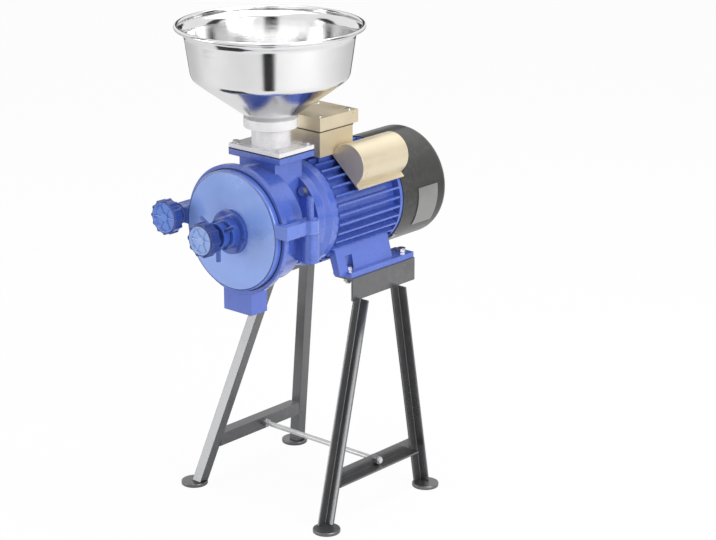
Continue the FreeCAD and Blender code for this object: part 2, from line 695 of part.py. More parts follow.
bearings = [
    ("Front", frontPocket, s.bearingWidth, s.bearingOuter, s.shaftSeat),
    ("Rear", rearPocket, s.rearBearingWidth, s.rearBearingOuter, s.shaftRear),
]
outerRings, innerRings, balls = [], [], []
for word, start, width, outer, inner in bearings:
    at = (0, start, axis)
    outerRings.append(washer(word + "OuterRing", outer, outer - s.ringWall, width, at))
    innerRings.append(washer(word + "InnerRing", inner + s.ringWall, inner, width, at))
    middle = (outer + inner) / 2
    ballRadius = (outer - inner) / 2 - s.ringWall - s.fitGap
    count = int(s.ballCount.value)
    for i in range(count):
        across = FreeCAD.Rotation(V(0, 1, 0), 360.0 * i / count).multVec(V(1, 0, 0))
        ball = doc.addObject("Part::Sphere", word + "Ball%d" % i)
        bind(ball, "Radius", ballRadius)
        balls.append(place(ball, (middle * across.x, start + width / 2, axis + middle * across.z)))
node(join("OuterRings", outerRings), "bearing_outer_rings")
node(join("InnerRings", innerRings), "bearing_inner_rings")
node(join("Balls", balls), "bearing_balls")

node(washer("StatorCore", s.frameBore, s.statorInner, s.statorLength, (0, s.statorStart, axis)), "stator_core")
windingInner = s.statorInner + s.airGap * 6
windings = [
    washer("Winding%d" % i, windingInner + s.windingWall, windingInner, s.windingLength, (0, start, axis))
    for i, start in enumerate([s.statorStart - s.windingLength, s.statorStart + s.statorLength])
]
node(join("Windings", windings), "stator_windings")

# Rotor: shaft, core, fan, and the mill parts on the shaft's front end

shaftTip = s.carrierFront + s.carrierThick + s.discDepth * 2 + s.discRest
sealStart = noseStart - s.flangeThick
fanHubEnd = s.fanStart + s.fanLength
node(turned("Shaft", [
    (shaftTip, s.discBolt + s.fitGap),
    (shaftTip, s.shaftFront),
    (sealStart, s.shaftFront),
    (sealStart, s.shaftSeat),
    (frontPocket + s.bearingWidth, s.shaftSeat),
    (frontPocket + s.bearingWidth, s.shaftBody),
    (rearPocket, s.shaftBody),
    (rearPocket, s.shaftRear),
    (rearFace + s.endWeb, s.shaftRear),
    (rearFace + s.endWeb, s.shaftFan),
    (fanHubEnd + s.fanPlate, s.shaftFan),
    (fanHubEnd + s.fanPlate, 0),
    (shaftTip + s.boltDeep, 0),
    (shaftTip + s.boltDeep, s.discBolt + s.fitGap),
], at=shaftLine), "motor_shaft")
node(washer("RotorCore", s.statorInner - s.airGap, s.shaftBody, s.statorLength, (0, s.statorStart, axis)), "rotor_core")

fan = turned("Fan", [
    (s.fanStart, s.shaftFan),
    (s.fanStart, s.fanRadius - s.fanPlate * 2),
    (s.fanStart + s.fanPlate, s.fanRadius - s.fanPlate * 2),
    (s.fanStart + s.fanPlate, s.fanHub),
    (fanHubEnd, s.fanHub),
    (fanHubEnd, s.shaftFan),
], at=shaftLine)
bladeSketch = newSketch(fan, "BladeSection", "XZ_Plane", -s.fanStart)
bladeFoot = s.fanHub - s.fanPlate
outline(bladeSketch, [
    (bladeFoot, -s.fanPlate / 2), (s.fanRadius, -s.fanPlate / 2), (s.fanRadius, s.fanPlate / 2), (bladeFoot, s.fanPlate / 2),
])
blade = feature(fan, "Pad", "Blade", bladeSketch, s.fanLength, reverse=True)
repeat(fan, "Blades", blade, s.fanBlades)
node(fan, "cooling_fan")

holderRear = shaftTip + s.holderThick


def grindingDisc(name, start, grooveFace):
    """A ring with straight grooves across one face and four countersunk screw holes."""
    body = newBody(name + "Body")
    sketch = newSketch(body, name + "Ring", "XZ_Plane", -start)
    ring(sketch, (0, 0), s.discOuter)
    ring(sketch, (0, 0), s.discInner)
    feature(body, "Pad", name + "Blank", sketch, s.discDepth, reverse=True)
    if grooveFace > 0:
        cut = newSketch(body, name + "GrooveEnd", "XZ_Plane", -(start + s.discDepth - s.grooveDepth))
    else:
        cut = newSketch(body, name + "GrooveEnd", "XZ_Plane", -start)
    outline(cut, [
        (s.discInner - 1, 0), (s.discOuter + 1, s.grooveWidth), (s.discOuter + 1, s.grooveWidth * 2), (s.discInner - 1, s.grooveWidth / 2),
    ])
    groove = feature(body, "Pocket", name + "Groove", cut, s.grooveDepth)
    repeat(body, name + "Grooves", groove, s.grooveCount)
    place(body, shaftLine)
    return body


def screwSpots():
    return [(1, 0), (0, 1), (-1, 0), (0, -1)]


def discScrews(name, headStart, shankStart, length):
    """Four screws round the shaft, their heads sunk in the disc's grinding face."""
    pieces = []
    for i, (x, z) in enumerate(screwSpots()):
        at = (x * s.screwCircle, headStart, z * s.screwCircle)
        head = rod(name + "Head%d" % i, s.discScrewHead, s.discScrewHead / 2, at)
        shank = rod(name + "Shank%d" % i, s.discScrew, length, (at[0], shankStart, at[2]))
        pieces.append(join(name + "%d" % i, [head, shank]))
    return place(join(name, pieces), shaftLine, FreeCAD.Rotation(V(0, 1, 0), 45))


def discHoles(name, headStart, shankStart, length):
    pieces = []
    for i, (x, z) in enumerate(screwSpots()):
        at = (x * s.screwCircle, headStart, z * s.screwCircle)
        pieces.append(rod(name + "Sink%d" % i, s.discScrewHead + s.fitGap, s.discScrewHead / 2, at))
        pieces.append(rod(name + "Way%d" % i, s.discScrew + s.fitGap, length, (at[0], shankStart, at[2])))
    return place(join(name, pieces), shaftLine, FreeCAD.Rotation(V(0, 1, 0), 45))


fixedStart = s.carrierFront + s.carrierThick
turningStart = fixedStart + s.discDepth + s.discRest
sinkDepth = s.discScrewHead / 2
fixedFace = fixedStart + s.discDepth
holeArgs = (fixedFace - s.grooveDepth - sinkDepth, s.carrierFront, s.discDepth + s.carrierThick - s.grooveDepth - sinkDepth)
sinkTool = (fixedFace - s.grooveDepth - sinkDepth, s.carrierFront - 1, s.discDepth + s.carrierThick + 2)
fixedHole = join("FixedHoles", [
    discHoles("FixedHole", *sinkTool),
    place(join("FixedOpen", [
        rod("FixedOpen%d" % i, s.discScrewHead + s.fitGap, s.grooveDepth * 2, (x * s.screwCircle, fixedFace - s.grooveDepth, z * s.screwCircle))
        for i, (x, z) in enumerate(screwSpots())
    ]), shaftLine, FreeCAD.Rotation(V(0, 1, 0), 45)),
])
node(carve("FixedDisc", grindingDisc("FixedDisc", fixedStart, 1), [fixedHole]), "fixed_grinding_disc")
node(discScrews("FixedScrews", *holeArgs), "fixed_disc_screws")

turnHead = turningStart + s.grooveDepth
turnArgs = (turnHead, turnHead + sinkDepth, s.discDepth + s.holderThick - s.grooveDepth - sinkDepth)
turnTool = (turnHead, turningStart, s.discDepth + s.holderThick + 1)
turningHole = join("TurningHoles", [
    discHoles("TurningHole", *turnTool),
    place(join("TurningOpen", [
        rod("TurningOpen%d" % i, s.discScrewHead + s.fitGap, s.grooveDepth * 2, (x * s.screwCircle, turningStart - s.grooveDepth, z * s.screwCircle))
        for i, (x, z) in enumerate(screwSpots())
    ]), shaftLine, FreeCAD.Rotation(V(0, 1, 0), 45)),
])
node(carve("TurningDisc", grindingDisc("TurningDisc", turningStart, -1), [turningHole]), "rotating_grinding_disc")
node(discScrews("TurningScrews", *turnArgs), "rotating_disc_screws")

holder = turned("Holder", [
    (shaftTip, s.shaftFront), (shaftTip, s.holderRadius), (holderRear, s.holderRadius), (holderRear, s.shaftFront),
], at=shaftLine)
windowSketch = newSketch(holder, "WindowSection", "XZ_Plane", -shaftTip)
ring(windowSketch, (s.windowCircle, 0), s.windowRadius)
window = feature(holder, "Pocket", "Window", windowSketch, s.holderThick)
repeat(holder, "Windows", window, 6)
holderHoles = discHoles("HolderHole", shaftTip - s.discScrewHead, shaftTip - 1, s.holderThick + 2)
node(carve("DiscHolder", holder, [holderHoles]), "disc_holder")

capStart = shaftTip - s.discBoltHead * 0.75
boltHead = hexagon("DiscBoltHead", s.discBoltHead, shaftTip - capStart, (0, capStart, axis))
boltShank = rod("DiscBoltShank", s.discBolt, s.boltDeep - 2, (0, shaftTip, axis))
node(join("DiscBolt", [boltHead, boltShank]), "disc_bolt")

augerStart = holderRear
augerEnd = sealStart - 1
auger = newBody("Auger")
augerSketch = newSketch(auger, "AugerSection", "XZ_Plane", -augerStart)
ring(augerSketch, (0, 0), s.augerHub)
ring(augerSketch, (0, 0), s.shaftFront)
feature(auger, "Pad", "AugerHub", augerSketch, augerEnd - augerStart, reverse=True)
flightSketch = newSketch(auger, "FlightSection", "YZ_Plane")
flightStart = s.housingFront + s.chamberDepth + 2
outline(flightSketch, [
    (flightStart, s.augerHub - 1), (flightStart, s.augerRadius),
    (flightStart + s.flightThick, s.augerRadius), (flightStart + s.flightThick, s.augerHub - 1),
])
flight = auger.newObject("PartDesign::AdditiveHelix", "Flight")
flight.Profile = flightSketch
flight.ReferenceAxis = (flightSketch, ["H_Axis"])
flight.Mode = 0
bind(flight, "Pitch", s.augerPitch)
bind(flight, "Height", s.augerPitch * s.flightTurns)
place(auger, shaftLine)
node(auger, "auger")

node(washer("Seal", s.sealOuter, s.shaftSeat + s.fitGap, s.flangeThick, (0, sealStart, axis)), "shaft_seal")

# Fan cover: a pressed cup with two rings of air slots at its back

coverEnd = s.coverStart + s.coverLength
coverInner = s.coverOuter - s.coverWall
fanCover = newBody("FanCover")
cupSketch = newSketch(fanCover, "FanCoverProfile", "YZ_Plane")
outline(cupSketch, [
    (s.coverStart, coverInner), (s.coverStart, s.coverOuter), (coverEnd, s.coverOuter),
    (coverEnd, 0), (coverEnd - s.coverWall, 0), (coverEnd - s.coverWall, coverInner),
])
cup = fanCover.newObject("PartDesign::Revolution", "FanCoverTurn")
cup.Profile = cupSketch
cup.ReferenceAxis = (cupSketch, ["H_Axis"])
cup.Angle = 360
soften(fanCover, "Fillet", "FanCoverCurve", s.coverCurve, lambda edge: (
    abs(edge.BoundBox.YMin - coverEnd.value) < 0.01 and edge.BoundBox.XMax > coverInner.value + 0.1
))
soften(fanCover, "Fillet", "FanCoverInnerCurve", s.coverCurve - s.coverWall, lambda edge: (
    abs(edge.BoundBox.YMin - (coverEnd - s.coverWall).value) < 0.01 and edge.BoundBox.XMax > coverInner.value - 0.1
))
slotSketch = newSketch(fanCover, "SlotSection", "XZ_Plane", -(coverEnd - s.coverWall * 2))
for start in (s.slotInner, s.slotInner + s.slotLength + s.slotBridge):
    outline(slotSketch, [
        (start, -s.slotWidth / 2), (start + s.slotLength, -s.slotWidth / 2),
        (start + s.slotLength, s.slotWidth / 2), (start, s.slotWidth / 2),
    ])
slot = feature(fanCover, "Pocket", "Slot", slotSketch, s.coverWall * 3)
repeat(fanCover, "Slots", slot, s.slotCount)
place(fanCover, shaftLine)


def radialRods(name, radius, inner, outer, along):
    """Four rods that point away from the shaft, halfway between upright and level."""
    length = outer - inner
    pieces = [
        rod(name + "Right", radius, length, (inner, along, 0), "X"),
        rod(name + "Left", radius, length, (-outer, along, 0), "X"),
        rod(name + "Up", radius, length, (0, along, inner), "Z"),
        rod(name + "Down", radius, length, (0, along, -outer), "Z"),
    ]
    return place(join(name, pieces), shaftLine, FreeCAD.Rotation(V(0, 1, 0), 45))


coverScrewAt = s.coverStart + s.coverWall * 3
screwDeep = s.coverOuter - s.endWeb
coverWays = radialRods(
    "CoverScrewWays", s.coverScrew + s.fitGap, screwDeep, s.coverOuter + s.coverWall, coverScrewAt,
)
node(carve("FanCoverDrilled", fanCover, [coverWays]), "fan_cover")
node(carve("RearShieldDrilled", rearShield, [coverWays]), "rear_end_shield")
screwShanks = radialRods("CoverScrewShanks", s.coverScrew, screwDeep, s.coverOuter, coverScrewAt)
screwHeads = radialRods(
    "CoverScrewHeads", s.coverScrew * 1.8, s.coverOuter, s.coverOuter + s.coverWall, coverScrewAt,
)
node(join("FanCoverScrews", [screwShanks, screwHeads]), "fan_cover_screws")

# Terminal box on top of the frame, with its lid, screws, terminal block and cable gland

boxBase = axis + s.boxFoot
lidBase = boxBase + s.boxTall
lidTop = lidBase + s.lidTall
boxEnd = s.boxFront + s.boxLength
boxMiddle = s.boxFront + s.boxLength / 2
boxOuter = block("BoxOuter", (s.boxHalf * 2, s.boxLength, s.boxTall), (-s.boxHalf, s.boxFront, boxBase))
boxInner = block(
    "BoxInner",
    (s.boxHalf * 2 - s.boxWall * 2, s.boxLength - s.boxWall * 2, s.boxTall),
    (s.boxWall - s.boxHalf, s.boxFront + s.boxWall, boxBase + s.boxWall),
)
postSpots = [
    (x * (s.boxHalf - s.postSide / 2), boxMiddle + y * (s.boxLength / 2 - s.postSide / 2))
    for x in (1, -1) for y in (1, -1)
]
posts = [
    block("BoxPost%d" % i, (s.postSide, s.postSide, s.boxTall), (x - s.postSide / 2, y - s.postSide / 2, boxBase))
    for i, (x, y) in enumerate(postSpots)
]
postHoles = [
    rod("PostHole%d" % i, s.lidScrew + s.fitGap, s.boxTall / 2, (x, y, boxBase + s.boxTall / 2), "Z")
    for i, (x, y) in enumerate(postSpots)
]
glandHeight = boxBase + s.boxTall / 2
glandHole = rod("GlandHole", s.glandBore, s.boxWall * 3, (0, boxEnd - s.boxWall * 2, glandHeight))
boxShell = join("BoxShell", [carve("BoxHollow", boxOuter, [boxInner])] + posts)
node(carve("TerminalBox", boxShell, postHoles + [glandHole]), "terminal_box")

lidHalf = s.boxHalf + s.lidLip
lidOuter = block(
    "LidOuter", (lidHalf * 2, s.boxLength + s.lidLip * 2, s.lidTall), (-lidHalf, s.boxFront - s.lidLip, lidBase),
)
lidHollow = block(
    "LidHollow",
    (s.boxHalf * 2 - s.postSide * 2, s.boxLength - s.postSide * 2, s.lidTall - s.boxWall),
    (s.postSide - s.boxHalf, s.boxFront + s.postSide, lidBase),
)
lidHoles = [
    rod("LidHole%d" % i, s.lidScrew + s.fitGap, s.lidTall * 2, (x, y, lidBase - s.lidTall / 2), "Z")
    for i, (x, y) in enumerate(postSpots)
]
node(carve("TerminalLid", lidOuter, [lidHollow] + lidHoles), "terminal_box_lid")
lidScrews = []
for i, (x, y) in enumerate(postSpots):
    bite = s.boxTall / 4
    shank = rod("LidScrewShank%d" % i, s.lidScrew, s.lidTall + bite, (x, y, lidBase - bite), "Z")
    head = rod("LidScrewHead%d" % i, s.lidScrew * 1.9, s.boxWall * 0.6, (x, y, lidTop), "Z")
    lidScrews.append(join("LidScrew%d" % i, [shank, head]))
node(join("LidScrews", lidScrews), "terminal_lid_screws")

terminalTall = s.boxTall / 4
terminalBase = boxBase + s.boxWall
terminalBlock = block(
    "TerminalBlock",
    (s.boxHalf, s.boxLength / 2, terminalTall),
    (-s.boxHalf / 2, s.boxFront + s.boxLength / 4, terminalBase),
)
node(terminalBlock, "terminal_block")
studs = [
    rod(
        "TerminalStud%d%d" % (i, j), s.lidScrew, terminalTall,
        (x * s.boxHalf / 3, boxMiddle + y * s.boxLength / 10, terminalBase + terminalTall), "Z",
    )
    for i, x in enumerate((-1, 0, 1)) for j, y in enumerate((-1, 1))
]
node(join("TerminalStuds", studs), "terminal_studs")

glandAt = (0, boxEnd, glandHeight)
glandNut = hexagon("GlandNut", s.glandRadius, s.glandRadius * 0.9, glandAt)
glandNose = rod("GlandNose", s.glandRadius * 0.8, s.glandRadius * 1.8, glandAt)
glandWay = rod("GlandWay", s.glandBore, s.glandRadius * 3, (0, boxEnd - s.boxWall, glandHeight))
node(carve("CableGland", join("GlandBody", [glandNut, glandNose]), [glandWay]), "cable_gland")


# Capacitors under arched covers, one each side of the terminal box

def arch(name, radius, foot, start, length):
    """An upright arch above the shaft, before it is leaned to its side."""
    crown = rod(name + "Crown", radius, length, (0, start, s.domeCentre))
    legs = block(name + "Legs", (radius * 2, length, s.domeCentre - foot), (-radius, start, foot))
    return join(name + "Arch", [crown, legs])


capCentre = s.domeFoot + s.capRadius + s.looseGap
capStart = s.domeStart + (s.domeLength - s.capLength) / 2
brimHalf = s.domeRadius + s.domeBrim
for word, side in sides.items():
    lean = FreeCAD.Rotation(V(0, 1, 0), side * s.domeAngle.value)
    outer = arch("CapOuter_" + word, s.domeRadius, s.domeFoot, s.domeStart, s.domeLength)
    inner = arch(
        "CapInner_" + word, s.domeRadius - s.domeWall, s.domeFoot - s.domeWall,
        s.domeStart + s.domeWall, s.domeLength - s.domeWall * 2,
    )
    brim = block(
        "CapBrim_" + word, (brimHalf * 2, s.domeLength, s.domeWall * 1.5), (-brimHalf, s.domeStart, s.domeFoot),
    )
    below = block(
        "CapBelow_" + word,
        (brimHalf * 2, s.domeLength * 2, s.domeRadius),
        (-brimHalf, s.domeStart - s.domeLength / 2, s.domeFoot - s.domeRadius),
    )
    cover = carve("CapCover_" + word, join("CapShell_" + word, [outer, brim]), [inner, below])
    place(cover, shaftLine, lean)
    notch = block(
        "CapNotch_" + word,
        ((s.boxHalf + s.looseGap) * 2, s.boxLength + s.looseGap * 2, s.boxTall),
        (-s.boxHalf - s.looseGap, s.boxFront - s.looseGap, boxBase - s.looseGap),
    )
    node(carve("CapTrimmed_" + word, cover, [notch]), "capacitor_cover_" + word)
    can = rod("CapCan_" + word, s.capRadius, s.capLength, (0, capStart, capCentre))
    tags = [
        rod("CapTag%s_%d" % (word, x), s.lidScrew, s.domeWall * 2, (x * s.capRadius / 3, capStart - s.domeWall * 2, capCentre))
        for x in (1, -1)
    ]
    capacitor = join("Capacitor_" + word, [can] + tags)
    node(place(capacitor, shaftLine, lean), "capacitor_" + word)

# Mill housing: chamber, barrel, feed pad, spout, hinge knuckle and clamp lug in one casting

chamberRadius = s.housingRadius - s.housingWall
chamberEnd = s.housingFront + s.chamberDepth
drumEnd = chamberEnd + s.backWall
housingShape = turned("HousingShape", [
    (s.housingFront, 0),
    (s.housingFront, s.housingRim),
    (s.housingFront + s.rimThick, s.housingRim),
    (s.housingFront + s.rimThick, s.housingRadius),
    (drumEnd, s.housingRadius),
    (drumEnd, s.barrelOuter),
    (sealStart, s.barrelOuter),
    (sealStart, s.flangeRadius),
    (noseStart, s.flangeRadius),
    (noseStart, 0),
], at=shaftLine)
padTop = axis + s.padHeight
stemStart = drumEnd - s.backWall / 2
padStem = block("PadStem", (s.padHalf * 2, noseStart - stemStart, s.padHeight), (-s.padHalf, stemStart, axis))
padPlate = block(
    "PadPlate",
    (s.neckPlateX, s.neckPlateY, s.padThick),
    (-s.neckPlateX / 2, s.hopperY - s.neckPlateY / 2, padTop - s.padThick),
)
spoutTop = s.housingRadius - s.housingWall * 1.5
spout = block(
    "SpoutOuter",
    (s.spoutHalf * 2, s.spoutLength, s.spoutDrop - spoutTop),
    (-s.spoutHalf, s.spoutFront, axis - s.spoutDrop),
)
hingeJoint = axis + s.hingeSplit
lowStart = hingeJoint - s.lowKnuckle
lowKnuckle = rod("LowKnuckle", s.knuckleRadius, s.lowKnuckle, (s.hingeX, s.hingeY, lowStart), "Z")
lugHalf = s.knuckleRadius * 0.6
lowLug = block(
    "LowLug", (s.hingeX - chamberRadius, lugHalf * 2, s.lowKnuckle), (chamberRadius, s.hingeY - lugHalf, lowStart),
)
clampHeight = axis + s.clampRise
clampAt = (-s.clampX, s.housingFront, clampHeight)
webHalf = s.lugRadius * 0.75
backLug = rod("BackLug", s.lugRadius, s.lugDepth, clampAt)
backWeb = block(
    "BackWeb",
    (s.clampX - chamberRadius, s.lugDepth, webHalf * 2),
    (-s.clampX, s.housingFront, clampHeight - webHalf),
)
spoutInside = s.spoutHalf - s.spoutWall
housingCuts = [
    rod("ChamberCut", chamberRadius, s.chamberDepth, (0, s.housingFront, axis)),
    rod("BarrelCut", s.barrelBore, sealStart - chamberEnd + s.backWall, (0, chamberEnd - s.backWall, axis)),
    rod("SealCut", s.sealOuter, s.flangeThick * 2, (0, sealStart - s.flangeThick / 2, axis)),
    rod("FeedCut", s.neckBore, s.padHeight + 1, (0, s.hopperY, axis), "Z"),
    block(
        "SpoutCut",
        (spoutInside * 2, s.spoutLength - s.spoutWall * 2, s.spoutDrop - spoutTop + s.housingWall * 2),
        (-spoutInside, s.spoutFront + s.spoutWall, axis - s.spoutDrop - s.housingWall),
    ),
    rod("KnuckleCut", s.pinRadius, s.lowKnuckle, (s.hingeX, s.hingeY, lowStart), "Z"),
    rod("LugCut", s.studRadius + s.fitGap, s.lugDepth, clampAt),
    rod("LugSlotEnd", s.studRadius + s.fitGap, s.lugDepth, (s.lugSlot - s.clampX, s.housingFront, clampHeight)),
    block(
        "LugSlot",
        (s.lugSlot, s.lugDepth, (s.studRadius + s.fitGap) * 2),
        (-s.clampX, s.housingFront, clampHeight - s.studRadius - s.fitGap),
    ),
]
flangeSpots = [(1, 0), (0, 1), (-1, 0), (0, -1)]
neckBoltSpots = [
    (x * (s.neckPlateX / 2 - s.neckBoltIn), s.hopperY + y * (s.neckPlateY / 2 - s.neckBoltIn))
    for x in (1, -1) for y in (1, -1)
]


def flangeRing(name, maker, radius, start, length):
    """Four rods or hexagons on the flange's bolt circle, halfway between upright and level."""
    pieces = [
        maker(name + "%d" % i, radius, length, (x * s.flangeBoltCircle, start, z * s.flangeBoltCircle))
        for i, (x, z) in enumerate(flangeSpots)
    ]
    return place(join(name, pieces), shaftLine, FreeCAD.Rotation(V(0, 1, 0), 45))


padHoles = [
    rod("PadHole%d" % i, s.neckBolt + s.fitGap, s.padThick * 2, (x, y, padTop - s.padThick * 1.5), "Z")
    for i, (x, y) in enumerate(neckBoltSpots)
]
flangeWays = flangeRing("FlangeWays", rod, s.flangeBolt + s.fitGap, sealStart - 1, s.flangeThick + s.endWeb * 2)
housingStock = join(
    "HousingStock", [housingShape, padStem, padPlate, spout, lowKnuckle, lowLug, backLug, backWeb],
)
node(carve("MillHousing", housingStock, housingCuts + padHoles + [flangeWays]), "mill_housing")
node(carve("FrontShieldDrilled", frontShield, [flangeWays]), "front_end_shield")
headThick = s.footHeadThick
flangeHeads = flangeRing("FlangeHeads", hexagon, s.footHeadRadius, sealStart - headThick, headThick)
flangeShanks = flangeRing("FlangeShanks", rod, s.flangeBolt, sealStart, s.flangeThick + s.endWeb)
node(join("FlangeBolts", [flangeHeads, flangeShanks]), "flange_bolts")

# Front cover with its boss, hinge arm and clamp lug

coverFace = s.housingFront - s.coverThick
bossEnd = coverFace - s.bossLength
recessFace = s.housingFront - s.recessDepth
screwBore = s.screwRadius + s.fitGap
coverShape = turned("CoverShape", [
    (bossEnd, screwBore),
    (bossEnd, s.bossRadius),
    (coverFace - s.bossStep, s.bossRadius),
    (coverFace - s.bossStep, s.bossFoot),
    (coverFace, s.bossFoot),
    (coverFace, s.rimRadius),
    (s.housingFront, s.rimRadius),
    (s.housingFront, s.recessRadius),
    (recessFace, s.recessRadius),
    (recessFace, screwBore),
], at=shaftLine)
soften(coverShape, "Fillet", "CoverRim", s.coverThick * 0.3, lambda edge: (
    abs(edge.BoundBox.YMin - coverFace.value) < 0.01 and edge.BoundBox.XMax > s.rimRadius.value - 0.1
))
highStart = hingeJoint + s.knuckleGap
highKnuckle = rod("HighKnuckle", s.knuckleRadius, s.highKnuckle, (s.hingeX, s.hingeY, highStart), "Z")
hingeArm = block(
    "HingeArm",
    (s.armThick, s.hingeY - coverFace, s.highKnuckle),
    (s.hingeX - s.armThick * 0.7, coverFace, highStart),
)
armFoot = block(
    "ArmFoot", (s.hingeX - chamberRadius, s.coverThick, s.highKnuckle), (chamberRadius, coverFace, highStart),
)
frontLug = rod("FrontLug", s.lugRadius, s.coverThick, (-s.clampX, coverFace, clampHeight))
frontWeb = block(
    "FrontWeb",
    (s.clampX - chamberRadius, s.coverThick, webHalf * 2),
    (-s.clampX, coverFace, clampHeight - webHalf),
)
guideDeep = s.recessDepth * 0.8
guideHoles = [
    rod(
        "GuideHole%d" % i, s.guideRadius + s.fitGap, guideDeep + 1,
        (side * s.guideCircle, recessFace - guideDeep, axis),
    )
    for i, side in enumerate((1, -1))
]
coverCuts = guideHoles + [
    rod("HighKnuckleCut", s.pinRadius + s.fitGap, s.highKnuckle, (s.hingeX, s.hingeY, highStart), "Z"),
    rod("FrontLugCut", s.studRadius + s.fitGap, s.coverThick, (-s.clampX, coverFace, clampHeight)),
]
coverStock = join("CoverStock", [coverShape, highKnuckle, hingeArm, armFoot, frontLug, frontWeb])
node(carve("FrontCover", coverStock, coverCuts), "front_cover")

pinTop = highStart + s.highKnuckle + s.pinRise
pinStart = (s.hingeX, s.hingeY, lowStart)
node(rod("HingePin", s.pinRadius, pinTop - lowStart, pinStart, "Z"), "hinge_pin")

# Clamp: a captive hand screw with a washer and a knob

knobBack = coverFace - s.washerThick
knobStep = knobBack - s.knobHubLength
knobFront = knobStep - s.knobThick
knobDish = s.knobThick / 4
washerAt = (-s.clampX, knobBack, clampHeight)
node(washer("ClampWasher", s.washerRadius, s.studRadius + s.fitGap, s.washerThick, washerAt), "clamp_washer")
studFront = knobFront + knobDish * 2
node(turned("ClampKnob", [
    (knobBack, s.studRadius),
    (knobBack, s.knobHub),
    (knobStep, s.knobHub),
    (knobStep, s.knobRadius),
    (knobFront, s.knobRadius),
    (knobFront, s.knobRadius - knobDish),
    (knobFront + knobDish, s.knobRadius - knobDish * 2),
    (knobFront + knobDish, 0),
    (studFront, 0),
    (studFront, s.studRadius),
], at=(-s.clampX, 0, clampHeight)), "clamp_knob")
studLength = s.housingFront + s.studReach - studFront
node(rod("ClampStud", s.studRadius, studLength, (-s.clampX, studFront, clampHeight)), "clamp_stud")

# Adjusting screw, wheel and lock ring, and the carrier of the fixed disc

screwFront = s.wheelFront + s.wheelThick / 2
journalEnd = s.carrierFront + s.journalLength
node(turned("AdjustingScrew", [
    (screwFront, 0),
    (screwFront, s.screwRadius),
    (s.carrierFront, s.screwRadius),
    (s.carrierFront, s.journalRadius),
    (journalEnd, s.journalRadius),
    (journalEnd, 0),
], at=shaftLine), "adjusting_screw")
lockBack = bossEnd - s.lockGap
lockFront = lockBack - s.lockThick
hubBack = lockFront - s.wheelGap
wheelBack = s.wheelFront + s.wheelThick
wheelDish = s.wheelThick / 6
node(turned("AdjustingWheel", [
    (hubBack, s.screwRadius),
    (hubBack, s.wheelHub),
    (wheelBack, s.wheelHub),
    (wheelBack, s.wheelRadius),
    (s.wheelFront, s.wheelRadius),
    (s.wheelFront, s.wheelRadius - wheelDish),
    (s.wheelFront + wheelDish, s.wheelRadius - wheelDish * 2),
    (s.wheelFront + wheelDish, 0),
    (screwFront, 0),
    (screwFront, s.screwRadius),
], at=shaftLine), "adjusting_wheel")

lockRing = turned("LockRing", [
    (lockBack, screwBore),
    (lockBack, s.lockRadius),
    (lockFront, s.lockRadius),
    (lockFront, screwBore),
])
pegRoot = (screwBore + s.lockRadius) / 2
pegSketch = newSketch(lockRing, "PegSection", "YZ_Plane", pegRoot)
ring(pegSketch, ((lockBack + lockFront) / 2, 0), s.pegRadius)
peg = feature(lockRing, "Pad", "Peg", pegSketch, s.pegReach - pegRoot)
repeat(lockRing, "Pegs", peg, s.pegCount)
node(place(lockRing, shaftLine, FreeCAD.Rotation(V(0, 1, 0), -30)), "lock_ring")

carrierBack = s.carrierFront + s.carrierThick
pocketEnd = journalEnd + s.looseGap
carrierShape = turned("CarrierShape", [
    (s.carrierFront, s.journalRadius + s.fitGap),
    (s.carrierFront, s.carrierRadius),
    (carrierBack, s.carrierRadius),
    (carrierBack, s.carrierBoss),
    (pocketEnd + s.carrierThick, s.carrierBoss),
    (pocketEnd + s.carrierThick, 0),
    (pocketEnd, 0),
    (pocketEnd, s.journalRadius + s.fitGap),
], at=shaftLine)
pinFront = recessFace - s.looseGap
guidePins = [
    rod("GuidePin%d" % i, s.guideRadius, carrierBack - pinFront, (side * s.guideCircle, pinFront, axis))
    for i, side in enumerate((1, -1))
]
carrierHoles = discHoles("CarrierHole", fixedFace, s.carrierFront - 1, s.carrierThick * 2)
node(carve("DiscCarrier", join("CarrierStock", [carrierShape] + guidePins), [carrierHoles]), "disc_carrier")

# Feed neck on its gasket, and the hopper that stands in it

plateFront = s.hopperY - s.neckPlateY / 2
plateBase = padTop + s.gasketThick
plateTop = plateBase + s.neckPlate
gasketStock = block(
    "GasketStock", (s.neckPlateX, s.neckPlateY, s.gasketThick), (-s.neckPlateX / 2, plateFront, padTop),
)
neckWays = [
    rod("NeckWay%d" % i, s.neckBolt + s.fitGap, s.neckPlate * 2, (x, y, padTop - s.gasketThick), "Z")
    for i, (x, y) in enumerate(neckBoltSpots)
]
gasketBore = rod("GasketBore", s.neckBore, s.gasketThick, (0, s.hopperY, padTop), "Z")
node(carve("NeckGasket", gasketStock, neckWays + [gasketBore]), "neck_gasket")
neckTop = plateBase + s.neckTall
collarBase = neckTop - s.collarTall
socketBase = neckTop - s.spigotTall
plateBlock = block(
    "NeckPlateBlock", (s.neckPlateX, s.neckPlateY, s.neckPlate), (-s.neckPlateX / 2, plateFront, plateBase),
)
neckTube = turned("NeckTube", [
    (s.neckBore, plateBase),
    (s.neckOuter, plateBase),
    (s.neckOuter, collarBase - s.collarTall / 4),
    (s.collarOuter, collarBase),
    (s.collarOuter, neckTop),
    (s.collarInner, neckTop),
    (s.collarInner, socketBase),
    (s.neckBore, socketBase),
], axis="Z", at=(0, s.hopperY, 0))
neckBoreCut = rod("NeckBoreCut", s.neckBore, s.neckPlate, (0, s.hopperY, plateBase), "Z")
node(carve("FeedNeck", join("NeckStock", [plateBlock, neckTube]), neckWays + [neckBoreCut]), "feed_neck")
neckBolts = []
